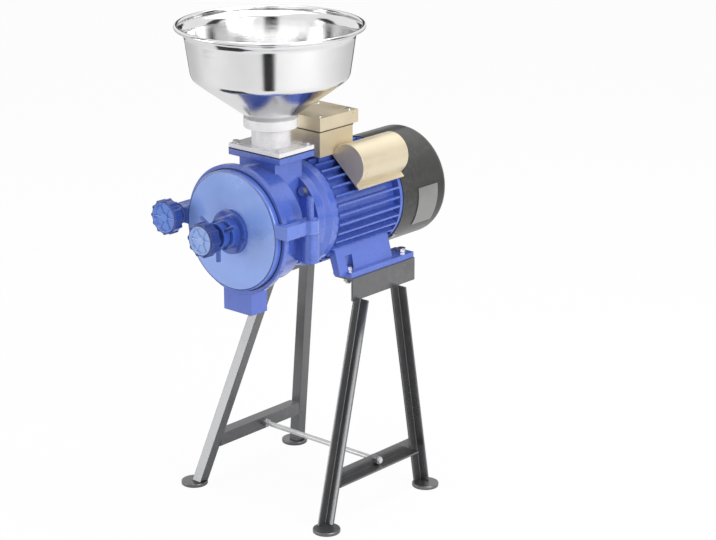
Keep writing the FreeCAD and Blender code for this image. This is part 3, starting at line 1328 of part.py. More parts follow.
for i, (x, y) in enumerate(neckBoltSpots):
    shankLength = s.neckPlate + s.gasketThick + s.padThick
    head = hexagon("NeckBoltHead%d" % i, s.neckBolt * 1.9, s.neckBolt * 1.4, (x, y, plateTop), "Z")
    shank = rod("NeckBoltShank%d" % i, s.neckBolt, shankLength, (x, y, plateTop - shankLength), "Z")
    neckBolts.append(join("NeckBolt%d" % i, [head, shank]))
node(join("NeckBolts", neckBolts), "neck_bolts")

spigotOuter = s.collarInner - s.fitGap
spigotInner = spigotOuter - s.sheetWall
coneTop = neckTop + s.coneRise
bandTop = coneTop + s.bandRise
rimTop = bandTop + s.rimRise
hopperShell = turned("HopperShell", [
    (spigotInner, socketBase),
    (spigotOuter, socketBase),
    (spigotOuter, neckTop),
    (s.breakRadius, coneTop),
    (s.bandRadius, bandTop),
    (s.hopperRim, rimTop),
    (s.hopperRim - s.sheetWall, rimTop),
    (s.bandRadius - s.sheetWall, bandTop),
    (s.breakRadius - s.sheetWall, coneTop),
    (spigotInner, neckTop),
], axis="Z", at=(0, s.hopperY, 0))
roll = doc.addObject("Part::Torus", "HopperRoll")
bind(roll, "Radius1", s.hopperRim)
bind(roll, "Radius2", s.rollRadius)
place(roll, (0, s.hopperY, rimTop))
node(join("Hopper", [hopperShell, roll]), "hopper")

# Every object and every node is looked at before anything is written

doc.recompute()
for obj in doc.Objects:
    if "Invalid" in obj.State or "Error" in obj.State:
        raise RuntimeError("object not made: " + obj.Name)
for item in nodes:
    if item.Shape.isNull() or not item.Shape.isValid():
        raise RuntimeError("shape not sound: " + item.Label)
os.makedirs("parts", exist_ok=True)
for item in nodes:
    item.Shape.exportStep("parts/" + item.Label + ".step")
print("nodes written:", len(nodes))
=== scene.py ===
import bmesh
import bpy
import json
from math import cos, radians, sin, tau
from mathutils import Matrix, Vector


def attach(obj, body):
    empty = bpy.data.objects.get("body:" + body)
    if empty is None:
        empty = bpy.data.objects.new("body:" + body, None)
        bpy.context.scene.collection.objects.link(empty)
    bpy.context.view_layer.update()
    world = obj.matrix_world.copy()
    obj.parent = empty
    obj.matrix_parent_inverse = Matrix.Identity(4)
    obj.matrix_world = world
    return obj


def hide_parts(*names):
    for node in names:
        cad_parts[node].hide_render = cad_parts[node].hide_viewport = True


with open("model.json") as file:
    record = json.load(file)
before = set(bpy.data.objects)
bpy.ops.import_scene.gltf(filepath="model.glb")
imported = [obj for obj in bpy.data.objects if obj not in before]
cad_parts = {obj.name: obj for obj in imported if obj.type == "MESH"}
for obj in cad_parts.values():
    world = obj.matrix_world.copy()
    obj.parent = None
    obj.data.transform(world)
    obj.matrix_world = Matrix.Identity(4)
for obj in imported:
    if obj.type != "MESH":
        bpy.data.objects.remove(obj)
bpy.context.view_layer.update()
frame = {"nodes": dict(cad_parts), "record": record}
nodes = frame["nodes"]
scene = bpy.context.scene
print("frame loaded")

shaftHeight = 0.455
hopperY = -0.0792


# Camera at the photograph's viewing angle

cameraLook = {"place": (2.2149, -2.4214, 1.4086), "tilt": 17.803, "turn": 41.123, "lens": 113.16}
cameraData = bpy.data.cameras.new("photoCamera")
cameraData.lens = cameraLook["lens"]
cameraData.sensor_width = 36
camera = bpy.data.objects.new("photoCamera", cameraData)
camera.location = cameraLook["place"]
camera.rotation_euler = (radians(90 - cameraLook["tilt"]), 0, radians(cameraLook["turn"]))
scene.collection.objects.link(camera)
scene.camera = camera


# Shader node groups shared by the materials

def newGroup(name, inputs, outputs, kind="ShaderNodeTree"):
    group = bpy.data.node_groups.new(name, kind)
    for label, socketKind, value in inputs:
        socket = group.interface.new_socket(label, in_out="INPUT", socket_type=socketKind)
        if value is not None:
            socket.default_value = value
    for label, socketKind in outputs:
        group.interface.new_socket(label, in_out="OUTPUT", socket_type=socketKind)
    return group, group.nodes.new("NodeGroupInput"), group.nodes.new("NodeGroupOutput")


def mathNode(tree, operation, first, second=None, clamp=False):
    node = tree.nodes.new("ShaderNodeMath")
    node.operation = operation
    node.use_clamp = clamp
    for i, value in enumerate((first, second)):
        if value is None:
            continue
        if isinstance(value, (int, float)):
            node.inputs[i].default_value = value
        else:
            tree.links.new(value, node.inputs[i])
    return node.outputs[0]


def rangeNode(tree, value, low, high, toLow=0.0, toHigh=1.0):
    node = tree.nodes.new("ShaderNodeMapRange")
    tree.links.new(value, node.inputs["Value"])
    for label, amount in (("From Min", low), ("From Max", high), ("To Min", toLow), ("To Max", toHigh)):
        node.inputs[label].default_value = amount
    return node.outputs[0]


def mixColour(tree, factor, first, second, blend="MIX"):
    node = tree.nodes.new("ShaderNodeMix")
    node.data_type = "RGBA"
    node.blend_type = blend
    for socket, value in ((node.inputs[0], factor), (node.inputs[6], first), (node.inputs[7], second)):
        if isinstance(value, (int, float, tuple)):
            socket.default_value = value
        else:
            tree.links.new(value, socket)
    return node.outputs[2]


def noiseNode(tree, vector, scale, detail=4.0, rough=0.55):
    node = tree.nodes.new("ShaderNodeTexNoise")
    tree.links.new(vector, node.inputs["Vector"])
    if isinstance(scale, (int, float)):
        node.inputs["Scale"].default_value = scale
    else:
        tree.links.new(scale, node.inputs["Scale"])
    node.inputs["Detail"].default_value = detail
    node.inputs["Roughness"].default_value = rough
    return node.outputs["Fac"]


def makeGrainGroup():
    # fine bumps of a sprayed or cast surface, with slow waves under them
    group, start, end = newGroup(
        "surfaceGrain",
        [("Vector", "NodeSocketVector", None), ("Fine Scale", "NodeSocketFloat", 900.0),
         ("Wave Scale", "NodeSocketFloat", 60.0), ("Wave Share", "NodeSocketFloat", 0.5)],
        [("Height", "NodeSocketFloat"), ("Cloud", "NodeSocketFloat")],
    )
    fine = noiseNode(group, start.outputs["Vector"], start.outputs["Fine Scale"], 3.0)
    wave = noiseNode(group, start.outputs["Vector"], start.outputs["Wave Scale"], 2.0)
    share = group.nodes.new("ShaderNodeMix")
    group.links.new(start.outputs["Wave Share"], share.inputs[0])
    group.links.new(fine, share.inputs[2])
    group.links.new(wave, share.inputs[3])
    group.links.new(share.outputs[0], end.inputs["Height"])
    cloud = noiseNode(group, start.outputs["Vector"], 14.0, 5.0, 0.6)
    group.links.new(cloud, end.inputs["Cloud"])
    return group


def makeWearGroup():
    # corners that have lost paint, broken up by noise
    group, start, end = newGroup(
        "edgeWear",
        [("Vector", "NodeSocketVector", None), ("Amount", "NodeSocketFloat", 0.5)],
        [("Mask", "NodeSocketFloat")],
    )
    geometry = group.nodes.new("ShaderNodeNewGeometry")
    edge = rangeNode(group, geometry.outputs["Pointiness"], 0.53, 0.62)
    broken = rangeNode(group, noiseNode(group, start.outputs["Vector"], 130.0, 6.0, 0.7), 0.45, 0.62)
    worn = mathNode(group, "MULTIPLY", edge, broken)
    worn = mathNode(group, "MULTIPLY", worn, start.outputs["Amount"], clamp=True)
    group.links.new(worn, end.inputs["Mask"])
    return group


def makeDustGroup():
    # dust that settles on faces that look up
    group, start, end = newGroup(
        "settledDust",
        [("Vector", "NodeSocketVector", None), ("Amount", "NodeSocketFloat", 0.1)],
        [("Mask", "NodeSocketFloat")],
    )
    geometry = group.nodes.new("ShaderNodeNewGeometry")
    split = group.nodes.new("ShaderNodeSeparateXYZ")
    group.links.new(geometry.outputs["Normal"], split.inputs[0])
    up = rangeNode(group, split.outputs["Z"], 0.3, 1.0)
    patch = rangeNode(group, noiseNode(group, start.outputs["Vector"], 35.0, 6.0, 0.65), 0.35, 0.75)
    mask = mathNode(group, "MULTIPLY", up, patch)
    mask = mathNode(group, "MULTIPLY", mask, start.outputs["Amount"], clamp=True)
    group.links.new(mask, end.inputs["Mask"])
    return group


def makeTurnedGroup():
    # fine rings left by a lathe or by spinning sheet metal, round an upright or level line
    group, start, end = newGroup(
        "turnedRings",
        [("Along", "NodeSocketFloat", 0.0), ("Out", "NodeSocketFloat", 0.0),
         ("Scale", "NodeSocketFloat", 1400.0)],
        [("Height", "NodeSocketFloat")],
    )
    run = mathNode(group, "ADD", start.outputs["Along"], start.outputs["Out"])
    run = mathNode(group, "MULTIPLY", run, start.outputs["Scale"])
    noise = group.nodes.new("ShaderNodeTexNoise")
    noise.noise_dimensions = "1D"
    noise.inputs["Scale"].default_value = 1.0
    noise.inputs["Detail"].default_value = 4.0
    group.links.new(run, noise.inputs["W"])
    group.links.new(noise.outputs["Fac"], end.inputs["Height"])
    return group


grainGroup = makeGrainGroup()
wearGroup = makeWearGroup()
dustGroup = makeDustGroup()
turnedGroup = makeTurnedGroup()


def placeGroup(tree, group, values=(), vector=None):
    node = tree.nodes.new("ShaderNodeGroup")
    node.node_tree = group
    for label, value in dict(values).items():
        node.inputs[label].default_value = value
    if vector is not None:
        tree.links.new(vector, node.inputs["Vector"])
    return node


def newMaterial(name):
    material = bpy.data.materials.new(name)
    material.use_nodes = True
    tree = material.node_tree
    shader = tree.nodes["Principled BSDF"]
    coords = tree.nodes.new("ShaderNodeTexCoord").outputs["Object"]
    return material, tree, shader, coords


def addBump(tree, shader, height, strength, distance, soft=0.0):
    bump = tree.nodes.new("ShaderNodeBump")
    if soft > 0:
        edge = tree.nodes.new("ShaderNodeBevel")
        edge.samples = 6
        edge.inputs["Radius"].default_value = soft
        tree.links.new(edge.outputs["Normal"], bump.inputs["Normal"])
    bump.inputs["Strength"].default_value = strength
    bump.inputs["Distance"].default_value = distance
    tree.links.new(height, bump.inputs["Height"])
    tree.links.new(bump.outputs["Normal"], shader.inputs["Normal"])


def paint(name, colour, deep, rough=0.3, coat=0.0, metallic=0.0, bump=0.25, fine=900.0, waves=70.0,
          wear=0.0, bare=(0.30, 0.30, 0.31, 1), dust=0.05, spread=0.08, specular=0.5, soft=0.0):
    material, tree, shader, coords = newMaterial(name)
    grain = placeGroup(tree, grainGroup, {"Fine Scale": fine, "Wave Scale": waves}, coords)
    cloud = rangeNode(tree, grain.outputs["Cloud"], 0.35, 0.65)
    base = mixColour(tree, cloud, deep + (1,), colour + (1,))
    roughness = rangeNode(tree, grain.outputs["Cloud"], 0.3, 0.7, rough - spread, rough + spread)
    if wear > 0:
        worn = placeGroup(tree, wearGroup, {"Amount": wear}, coords).outputs["Mask"]
        base = mixColour(tree, worn, base, bare)
        roughness = mathNode(tree, "ADD", roughness, mathNode(tree, "MULTIPLY", worn, 0.15))
    if dust > 0:
        dusty = placeGroup(tree, dustGroup, {"Amount": dust}, coords).outputs["Mask"]
        base = mixColour(tree, dusty, base, (0.62, 0.60, 0.56, 1))
        roughness = mathNode(tree, "ADD", roughness, mathNode(tree, "MULTIPLY", dusty, 0.4))
    tree.links.new(base, shader.inputs["Base Color"])
    tree.links.new(roughness, shader.inputs["Roughness"])
    shader.inputs["Metallic"].default_value = metallic
    shader.inputs["Coat Weight"].default_value = coat
    shader.inputs["Coat Roughness"].default_value = 0.12
    shader.inputs["Specular IOR Level"].default_value = specular
    addBump(tree, shader, grain.outputs["Height"], bump, 0.0006, soft)
    return material


def turnedMetal(name, colour, rough, centre, upright=False, scale=1400.0, bump=0.15, cloudDeep=0.85):
    material, tree, shader, coords = newMaterial(name)
    mapping = tree.nodes.new("ShaderNodeMapping")
    mapping.inputs["Location"].default_value = [-value for value in centre]
    tree.links.new(coords, mapping.inputs["Vector"])
    split = tree.nodes.new("ShaderNodeSeparateXYZ")
    tree.links.new(mapping.outputs["Vector"], split.inputs[0])
    along, other = ("Z", "Y") if upright else ("Y", "Z")
    wide = mathNode(tree, "MULTIPLY", split.outputs["X"], split.outputs["X"])
    tall = mathNode(tree, "MULTIPLY", split.outputs[other], split.outputs[other])
    out = mathNode(tree, "SQRT", mathNode(tree, "ADD", wide, tall))
    rings = placeGroup(tree, turnedGroup, {"Scale": scale})
    tree.links.new(split.outputs[along], rings.inputs["Along"])
    tree.links.new(out, rings.inputs["Out"])
    cloud = noiseNode(tree, coords, 18.0, 5.0, 0.6)
    shade = rangeNode(tree, cloud, 0.3, 0.7, cloudDeep, 1.0)
    base = mixColour(tree, 1.0, colour + (1,), (1, 1, 1, 1), "MULTIPLY")
    combine = tree.nodes.new("ShaderNodeCombineColor")
    for label in ("Red", "Green", "Blue"):
        tree.links.new(shade, combine.inputs[label])
    tree.links.new(mixColour(tree, 1.0, base, combine.outputs[0], "MULTIPLY"), shader.inputs["Base Color"])
    tree.links.new(rangeNode(tree, rings.outputs["Height"], 0.3, 0.7, rough * 0.75, rough * 1.35),
                   shader.inputs["Roughness"])
    shader.inputs["Metallic"].default_value = 1.0
    addBump(tree, shader, rings.outputs["Height"], bump, 0.0002)
    return material


def radialMask(tree, centre):
    # distance from a level line along Y through a point, and the place along it
    coords = [node for node in tree.nodes if node.bl_idname == "ShaderNodeTexCoord"][0].outputs["Object"]
    split = tree.nodes.new("ShaderNodeSeparateXYZ")
    tree.links.new(coords, split.inputs[0])
    wide = mathNode(tree, "SUBTRACT", split.outputs["X"], centre[0])
    tall = mathNode(tree, "SUBTRACT", split.outputs["Z"], centre[2])
    squares = mathNode(tree, "ADD", mathNode(tree, "MULTIPLY", wide, wide),
                       mathNode(tree, "MULTIPLY", tall, tall))
    return mathNode(tree, "SQRT", squares), split.outputs["Y"]


def coverPaint(name, paintedLitFace, outside, paintedShadeBoss, line, edges):
    # enamel with a face between two radii painted lighter as a painted sheen, a dark line round it, a boss
    # painted deeper as painted shade, and deeper lugs
    # the face colour is a painted sheen, lighter than the enamel round it
    material = paint(name, paintedLitFace, tuple(value * 0.9 for value in paintedLitFace), 0.24, coat=0.8, bump=0.12,
                     waves=25.0, wear=0.2, bare=(0.05, 0.09, 0.35, 1), dust=0.0, soft=0.0018)
    tree = material.node_tree
    shader = tree.nodes["Principled BSDF"]
    out = radialMask(tree, (0, 0, shaftHeight))[0]
    base = shader.inputs["Base Color"].links[0].from_socket
    bossEdge, lineIn, lineOut = edges
    # inside the boss edge the colour is painted shade
    base = mixColour(tree, rangeNode(tree, out, bossEdge, bossEdge + 0.001), paintedShadeBoss + (1,), base)
    base = mixColour(tree, rangeNode(tree, out, lineIn, lineIn + 0.0006), base, line + (1,))
    base = mixColour(tree, rangeNode(tree, out, lineOut, lineOut + 0.0006), base, outside + (1,))
    tree.links.new(base, shader.inputs["Base Color"])
    return material


def knobPaint(name, side, paintedLitFace, centre, radius, front):
    # moulded plastic whose face, inside a radius and ahead of a plane, is lighter than its sides: the face
    # colour is a painted highlight and the side colour is painted shade
    material = paint(name, side, tuple(value * 0.8 for value in side), 0.22, coat=0.4, bump=0.06,
                     fine=1600.0, dust=0.02, soft=0.0008)
    tree = material.node_tree
    shader = tree.nodes["Principled BSDF"]
    out, along = radialMask(tree, centre)
    inside = rangeNode(tree, out, radius + 0.0005, radius)
    ahead = rangeNode(tree, along, front + 0.0005, front)
    share = mathNode(tree, "MULTIPLY", inside, ahead, clamp=True)
    base = shader.inputs["Base Color"].links[0].from_socket
    # painted highlight on the face over the painted-shade side colour
    tree.links.new(mixColour(tree, share, base, paintedLitFace + (1,)), shader.inputs["Base Color"])
    return material


shaftCentre = (0, 0, shaftHeight)
materials = {
    "bluePaint": paint("bluePaint", (0.085, 0.155, 0.570), (0.068, 0.128, 0.520), 0.26, coat=0.7, bump=0.22,
                       waves=45.0, wear=0.25, bare=(0.02, 0.04, 0.20, 1), dust=0.03, soft=0.0016),
    # the cover's light face colour is a painted sheen and its boss colour is painted shade
    "blueCover": coverPaint("blueCover", (0.255, 0.400, 0.860), (0.100, 0.180, 0.600),
                            (0.040, 0.095, 0.420), (0.012, 0.030, 0.180), (0.0335, 0.0872, 0.0886)),
    # knob and wheel: first colour is painted shade on the sides, second is a painted highlight on the face
    "knobPlastic": knobPaint("knobPlastic", (0.030, 0.070, 0.330), (0.120, 0.240, 0.680),
                             (-0.110, 0, 0.461), 0.0222, -0.1930),
    "wheelPlastic": knobPaint("wheelPlastic", (0.018, 0.040, 0.220), (0.290, 0.430, 0.800),
                              (0, 0, shaftHeight), 0.0210, -0.2270),
    "blackPaint": paint("blackPaint", (0.155, 0.156, 0.160), (0.130, 0.131, 0.134), 0.30, metallic=0.85,
                        coat=0.4, bump=0.14, wear=0.25, bare=(0.26, 0.26, 0.27, 1), dust=0.02, spread=0.04),
    # painted shade: a darker copy of the blue paint for the lock ring behind the hand wheel
    "paintedShadeBlue": paint("paintedShadeBlue", (0.040, 0.095, 0.420), (0.032, 0.080, 0.370), 0.26, coat=0.6, bump=0.15,
                       dust=0.0, soft=0.001),
    "jointGasket": paint("jointGasket", (0.010, 0.012, 0.030), (0.008, 0.009, 0.022), 0.7, bump=0.2,
                         dust=0.0),
    "greyPaint": paint("greyPaint", (0.034, 0.034, 0.033), (0.030, 0.030, 0.029), 0.34, coat=0.12,
                       bump=0.06, wear=0.1, bare=(0.3, 0.3, 0.3, 1), dust=0.02, spread=0.04, specular=0.35),
    "goldPaint": paint("goldPaint", (0.70, 0.61, 0.44), (0.65, 0.56, 0.40), 0.32, metallic=0.42, coat=0.2,
                       bump=0.10, fine=1800.0, dust=0.0),
    # painted shadow: dark colour for the band under the terminal box lid
    "lidShadowPaint": paint("lidShadowPaint", (0.10, 0.085, 0.055), (0.08, 0.068, 0.045), 0.7, bump=0.2, dust=0.0),
    "whiteEnamel": paint("whiteEnamel", (0.80, 0.79, 0.80), (0.74, 0.73, 0.74), 0.28, coat=0.4, bump=0.2,
                         waves=50.0, dust=0.03),
    "blackPlastic": paint("blackPlastic", (0.028, 0.028, 0.028), (0.020, 0.020, 0.020), 0.5, bump=0.3,
                          fine=1500.0),
    "rubber": paint("rubber", (0.020, 0.020, 0.020), (0.014, 0.014, 0.014), 0.75, bump=0.4, fine=700.0),
    "castIron": paint("castIron", (0.17, 0.17, 0.17), (0.11, 0.11, 0.11), 0.52, metallic=0.8, bump=0.6,
                      fine=500.0, waves=90.0, wear=0.8, bare=(0.5, 0.5, 0.5, 1), dust=0.1),
    "paleRod": paint("paleRod", (0.70, 0.70, 0.70), (0.60, 0.60, 0.60), 0.35, metallic=0.3, bump=0.12,
                     fine=1300.0),
    "zinc": paint("zinc", (0.62, 0.62, 0.64), (0.45, 0.45, 0.47), 0.34, metallic=1.0, bump=0.12,
                  fine=1300.0, dust=0.04),
    "lamination": paint("lamination", (0.30, 0.30, 0.31), (0.22, 0.22, 0.23), 0.45, metallic=0.9, bump=0.4,
                        fine=1200.0),
    "copperWire": paint("copperWire", (0.62, 0.26, 0.11), (0.42, 0.16, 0.07), 0.35, metallic=0.9, bump=0.8,
                        fine=600.0),
    "brass": paint("brass", (0.78, 0.56, 0.22), (0.66, 0.45, 0.16), 0.28, metallic=1.0, bump=0.1,
                   fine=1300.0),
    "aluminium": paint("aluminium", (0.78, 0.78, 0.79), (0.66, 0.66, 0.67), 0.32, metallic=1.0, bump=0.1,
                       fine=1500.0),
    "plateMetal": paint("plateMetal", (0.30, 0.30, 0.29), (0.25, 0.25, 0.245), 0.38, metallic=0.6,
                        bump=0.08, fine=1500.0),
    "turnedSteel": turnedMetal("turnedSteel", (0.60, 0.60, 0.61), 0.26, shaftCentre),
    "spunSteel": turnedMetal("spunSteel", (0.77, 0.77, 0.77), 0.105, (0, hopperY, 0), upright=True,
                             scale=2600.0, bump=0.10, cloudDeep=0.93),
}
print("materials made")


# Which finish goes on which piece

finishes = {
    "bluePaint": ["motor_frame", "front_end_shield", "rear_end_shield", "mill_housing", "hinge_pin"],
    # the lock ring gets the blue with painted shade
    "paintedShadeBlue": ["lock_ring"],
    "blueCover": ["front_cover"],
    "knobPlastic": ["clamp_knob"],
    "wheelPlastic": ["adjusting_wheel"],
    "blackPaint": [
        "top_angle_right", "top_angle_left", "front_leg_right", "front_leg_left", "rear_leg_right",
        "rear_leg_left", "crossbar_right", "crossbar_left", "foot_discs",
    ],
    "greyPaint": ["fan_cover"],
    "goldPaint": ["terminal_box", "terminal_box_lid", "capacitor_cover_right", "capacitor_cover_left"],
    "whiteEnamel": ["feed_neck"],
    "blackPlastic": ["cable_gland", "terminal_block", "cooling_fan"],
    "rubber": ["shaft_seal", "neck_gasket"],
    "castIron": ["auger", "disc_holder", "rotating_grinding_disc", "fixed_grinding_disc", "disc_carrier"],
    "paleRod": ["tie_rod"],
    "zinc": [
        "clamp_washer", "tie_rod_nuts", "motor_foot_bolts", "motor_foot_nuts", "fan_cover_screws",
        "terminal_lid_screws",
        "flange_bolts", "neck_bolts", "fixed_disc_screws", "rotating_disc_screws", "disc_bolt",
    ],
    "lamination": ["stator_core", "rotor_core"],
    "copperWire": ["stator_windings"],
    "brass": ["terminal_studs"],
    "aluminium": ["capacitor_right", "capacitor_left"],
    "turnedSteel": [
        "bearing_outer_rings", "bearing_inner_rings", "bearing_balls", "motor_shaft", "adjusting_screw",
        "clamp_stud",
    ],
    "spunSteel": ["hopper"],
}
bodyOf = {}
finishOf = {}
for bodyName, members in frame["record"]["behaviour"]["bodies"].items():
    for member in members:
        bodyOf[member] = bodyName
for finish, members in finishes.items():
    for member in members:
        finishOf[member] = finish
        nodes[member].data.materials.clear()
        nodes[member].data.materials.append(materials[finish])
print("finishes on the CAD nodes")


# Softened copies of pressings, angle iron and the neck: same shape, with rounded edges

def finishPiece(piece, material, body, replaced=()):
    piece.data.materials.clear()
    piece.data.materials.append(material)
    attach(piece, body)
    if replaced:
        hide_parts(*replaced)
    return piece


def applyModifiers(piece):
    depsgraph = bpy.context.evaluated_depsgraph_get()
    mesh = bpy.data.meshes.new_from_object(piece.evaluated_get(depsgraph))
    old = piece.data
    piece.modifiers.clear()
    piece.data = mesh
    bpy.data.meshes.remove(old)
    return piece


softLook = {"segments": 3, "edgeAngle": 32.0, "flatAngle": 0.6, "mergeReach": 1e-6}


def softened(node, name, width):
    source = nodes[node]
    mesh = source.data.copy()
    work = bmesh.new()
    work.from_mesh(mesh)
    bmesh.ops.remove_doubles(work, verts=work.verts, dist=softLook["mergeReach"])
    bmesh.ops.dissolve_limit(
        work, angle_limit=radians(softLook["flatAngle"]), verts=work.verts, edges=work.edges,
        use_dissolve_boundaries=False,
    )
    work.to_mesh(mesh)
    work.free()
    for polygon in mesh.polygons:
        polygon.use_smooth = True
    piece = bpy.data.objects.new(name, mesh)
    scene.collection.objects.link(piece)
    bevel = piece.modifiers.new("roundedEdges", "BEVEL")
    bevel.width = width
    bevel.segments = softLook["segments"]
    bevel.limit_method = "ANGLE"
    bevel.angle_limit = radians(softLook["edgeAngle"])
    bevel.use_clamp_overlap = True
    bevel.harden_normals = False
    bevel.miter_outer = "MITER_ARC"
    weighted = piece.modifiers.new("flatFacesStayFlat", "WEIGHTED_NORMAL")
    weighted.keep_sharp = True
    applyModifiers(piece)
    return finishPiece(piece, materials[finishOf[node]], bodyOf[node], (node,))


softEdges = {
    "terminal_box": ("terminalBoxPressed", 0.0016),
    "terminal_box_lid": ("terminalLidPressed", 0.0030),
    "capacitor_cover_right": ("capacitorCoverRightPressed", 0.0007),
    "capacitor_cover_left": ("capacitorCoverLeftPressed", 0.0007),
    "top_angle_right": ("topAngleRightRolled", 0.0012),
    "top_angle_left": ("topAngleLeftRolled", 0.0012),
    "front_leg_right": ("frontLegRightRolled", 0.0009),
    "front_leg_left": ("frontLegLeftRolled", 0.0009),
    "rear_leg_right": ("rearLegRightRolled", 0.0009),
    "rear_leg_left": ("rearLegLeftRolled", 0.0009),
    "crossbar_right": ("crossbarRightRolled", 0.0009),
    "crossbar_left": ("crossbarLeftRolled", 0.0009),
    "foot_discs": ("footDiscsPressed", 0.0015),
    "feed_neck": ("feedNeckCast", 0.0016),
    "clamp_washer": ("clampWasherPressed", 0.0006),
}
for node, (name, width) in softEdges.items():
    softened(node, name, width)
print("softened pieces made")


# Revolved pieces

poleRadius = 1e-7  # a profile point nearer than this to the turning line is a single point


def turnedPiece(name, profile, centre, upright=False, steps=96):
    work = bmesh.new()
    rings = []
    for along, out in profile:
        ring = []
        if out < poleRadius:
            spot = (0, 0, along) if upright else (0, along, 0)
            ring = [work.verts.new(Vector(spot) + Vector(centre))]
        else:
            for i in range(steps):
                turn = tau * i / steps
                across, up = out * cos(turn), out * sin(turn)
                spot = (across, up, along) if upright else (across, along, up)
                ring.append(work.verts.new(Vector(spot) + Vector(centre)))
        rings.append(ring)
    count = len(rings)
    for k in range(count):
        first, second = rings[k], rings[(k + 1) % count]
        if len(first) == 1 and len(second) == 1:
            continue
        for i in range(steps):
            j = (i + 1) % steps
            if len(first) == 1:
                work.faces.new((first[0], second[i], second[j]))
            elif len(second) == 1:
                work.faces.new((first[i], second[0], first[j]))
            else:
                work.faces.new((first[i], second[i], second[j], first[j]))
    bmesh.ops.recalc_face_normals(work, faces=work.faces)
    mesh = bpy.data.meshes.new(name)
    work.to_mesh(mesh)
    work.free()
    for polygon in mesh.polygons:
        polygon.use_smooth = True
    piece = bpy.data.objects.new(name, mesh)
    scene.collection.objects.link(piece)
    return piece


def arcPoints(centre, radius, start, end, count):
    return [
        (centre[0] + radius * cos(radians(start + (end - start) * i / count)),
         centre[1] + radius * sin(radians(start + (end - start) * i / count)))
        for i in range(count + 1)
    ]


def rounded(points, radii, steps):
    # rounds the corners of a closed profile, with one radius for each corner
    result = []
    count = len(points)
    for i, point in enumerate(points):
        radius = radii[i] if i < len(radii) else 0
        here = Vector(point)
        before, after = Vector(points[i - 1]), Vector(points[(i + 1) % count])
        back, ahead = (before - here), (after - here)
        if radius <= 0 or back.length < 1e-9 or ahead.length < 1e-9:
            result.append(point)
            continue
        reach = min(radius, back.length * 0.45, ahead.length * 0.45)
        start, end = here + back.normalized() * reach, here + ahead.normalized() * reach
        for k in range(steps + 1):
            t = k / steps
            spot = start * (1 - t) ** 2 + here * 2 * t * (1 - t) + end * t ** 2
            result.append((spot.x, spot.y))
    return result


# Hopper spun from sheet: spigot, cone, upper wall and a rolled rim

hopperLook = {
    "spigot": 0.0340, "wall": 0.0011, "breakRadius": 0.1168, "bandRadius": 0.1258,
    "spigotBase": 0.6032, "coneBase": 0.6125, "coneTop": 0.6725, "bandTop": 0.7345, "rimTop": 0.7475,
    "rimRadius": 0.1370, "rollRadius": 0.0032,
}


def makeHopper(look):
    wall = look["wall"]
    outer = [
        (look["spigotBase"], look["spigot"] + wall),
        (look["coneBase"], look["spigot"] + wall),
        (look["coneTop"], look["breakRadius"]),
        (look["bandTop"], look["bandRadius"]),
        (look["rimTop"], look["rimRadius"]),
    ]
    full = rounded(outer + [(look["rimTop"], 0.0)], [0, 0.005, 0.007, 0.004, 0], 6)[:-1]
    inner = []
    for i, (along, out) in enumerate(full):
        before = full[max(i - 1, 0)]
        after = full[min(i + 1, len(full) - 1)]
        run = Vector((after[0] - before[0], after[1] - before[1])).normalized()
        inner.append((along + run.y * wall, out - run.x * wall))
    roll = arcPoints((look["rimTop"], look["rimRadius"]), look["rollRadius"], 270, -60, 16)
    shell = turnedPiece("hopperShellSpun", full + inner[::-1], (0, hopperY, 0), True, 128)
    rim = turnedPiece("hopperRimRolled", roll[:-1], (0, hopperY, 0), True, 128)
    join = bmesh.new()
    join.from_mesh(shell.data)
    join.from_mesh(rim.data)
    join.to_mesh(shell.data)
    join.free()
    bpy.data.objects.remove(rim)
    for polygon in shell.data.polygons:
        polygon.use_smooth = True
    return shell


hopper = makeHopper(hopperLook)
finishPiece(hopper, materials["spunSteel"], "feed_hopper", ("hopper",))
print("hopper made")


# Repeated details, placed by Geometry Nodes

def linkInto(tree, socket, value):
    if isinstance(value, (int, float, tuple)):
        socket.default_value = value
    else:
        tree.links.new(value, socket)


def cylinderNode(tree, sides, radius, length, lift=0.0):
    shape = tree.nodes.new("GeometryNodeMeshCylinder")
    shape.inputs["Vertices"].default_value = sides
    linkInto(tree, shape.inputs["Radius"], radius)
    linkInto(tree, shape.inputs["Depth"], length)
    move = tree.nodes.new("GeometryNodeTransform")
    place = tree.nodes.new("ShaderNodeCombineXYZ")
    linkInto(tree, place.inputs["Z"], lift)
    tree.links.new(shape.outputs["Mesh"], move.inputs["Geometry"])
    tree.links.new(place.outputs[0], move.inputs["Translation"])
    return move.outputs["Geometry"]


def closeTree(tree, start, end, parts):
    joined = tree.nodes.new("GeometryNodeJoinGeometry")
    for part in parts:
        tree.links.new(part, joined.inputs[0])
    real = tree.nodes.new("GeometryNodeRealizeInstances")
    finish = tree.nodes.new("GeometryNodeSetMaterial")
    tree.links.new(joined.outputs[0], real.inputs[0])
    tree.links.new(real.outputs[0], finish.inputs["Geometry"])
    tree.links.new(start.outputs["Material"], finish.inputs["Material"])
    tree.links.new(finish.outputs[0], end.inputs["Geometry"])


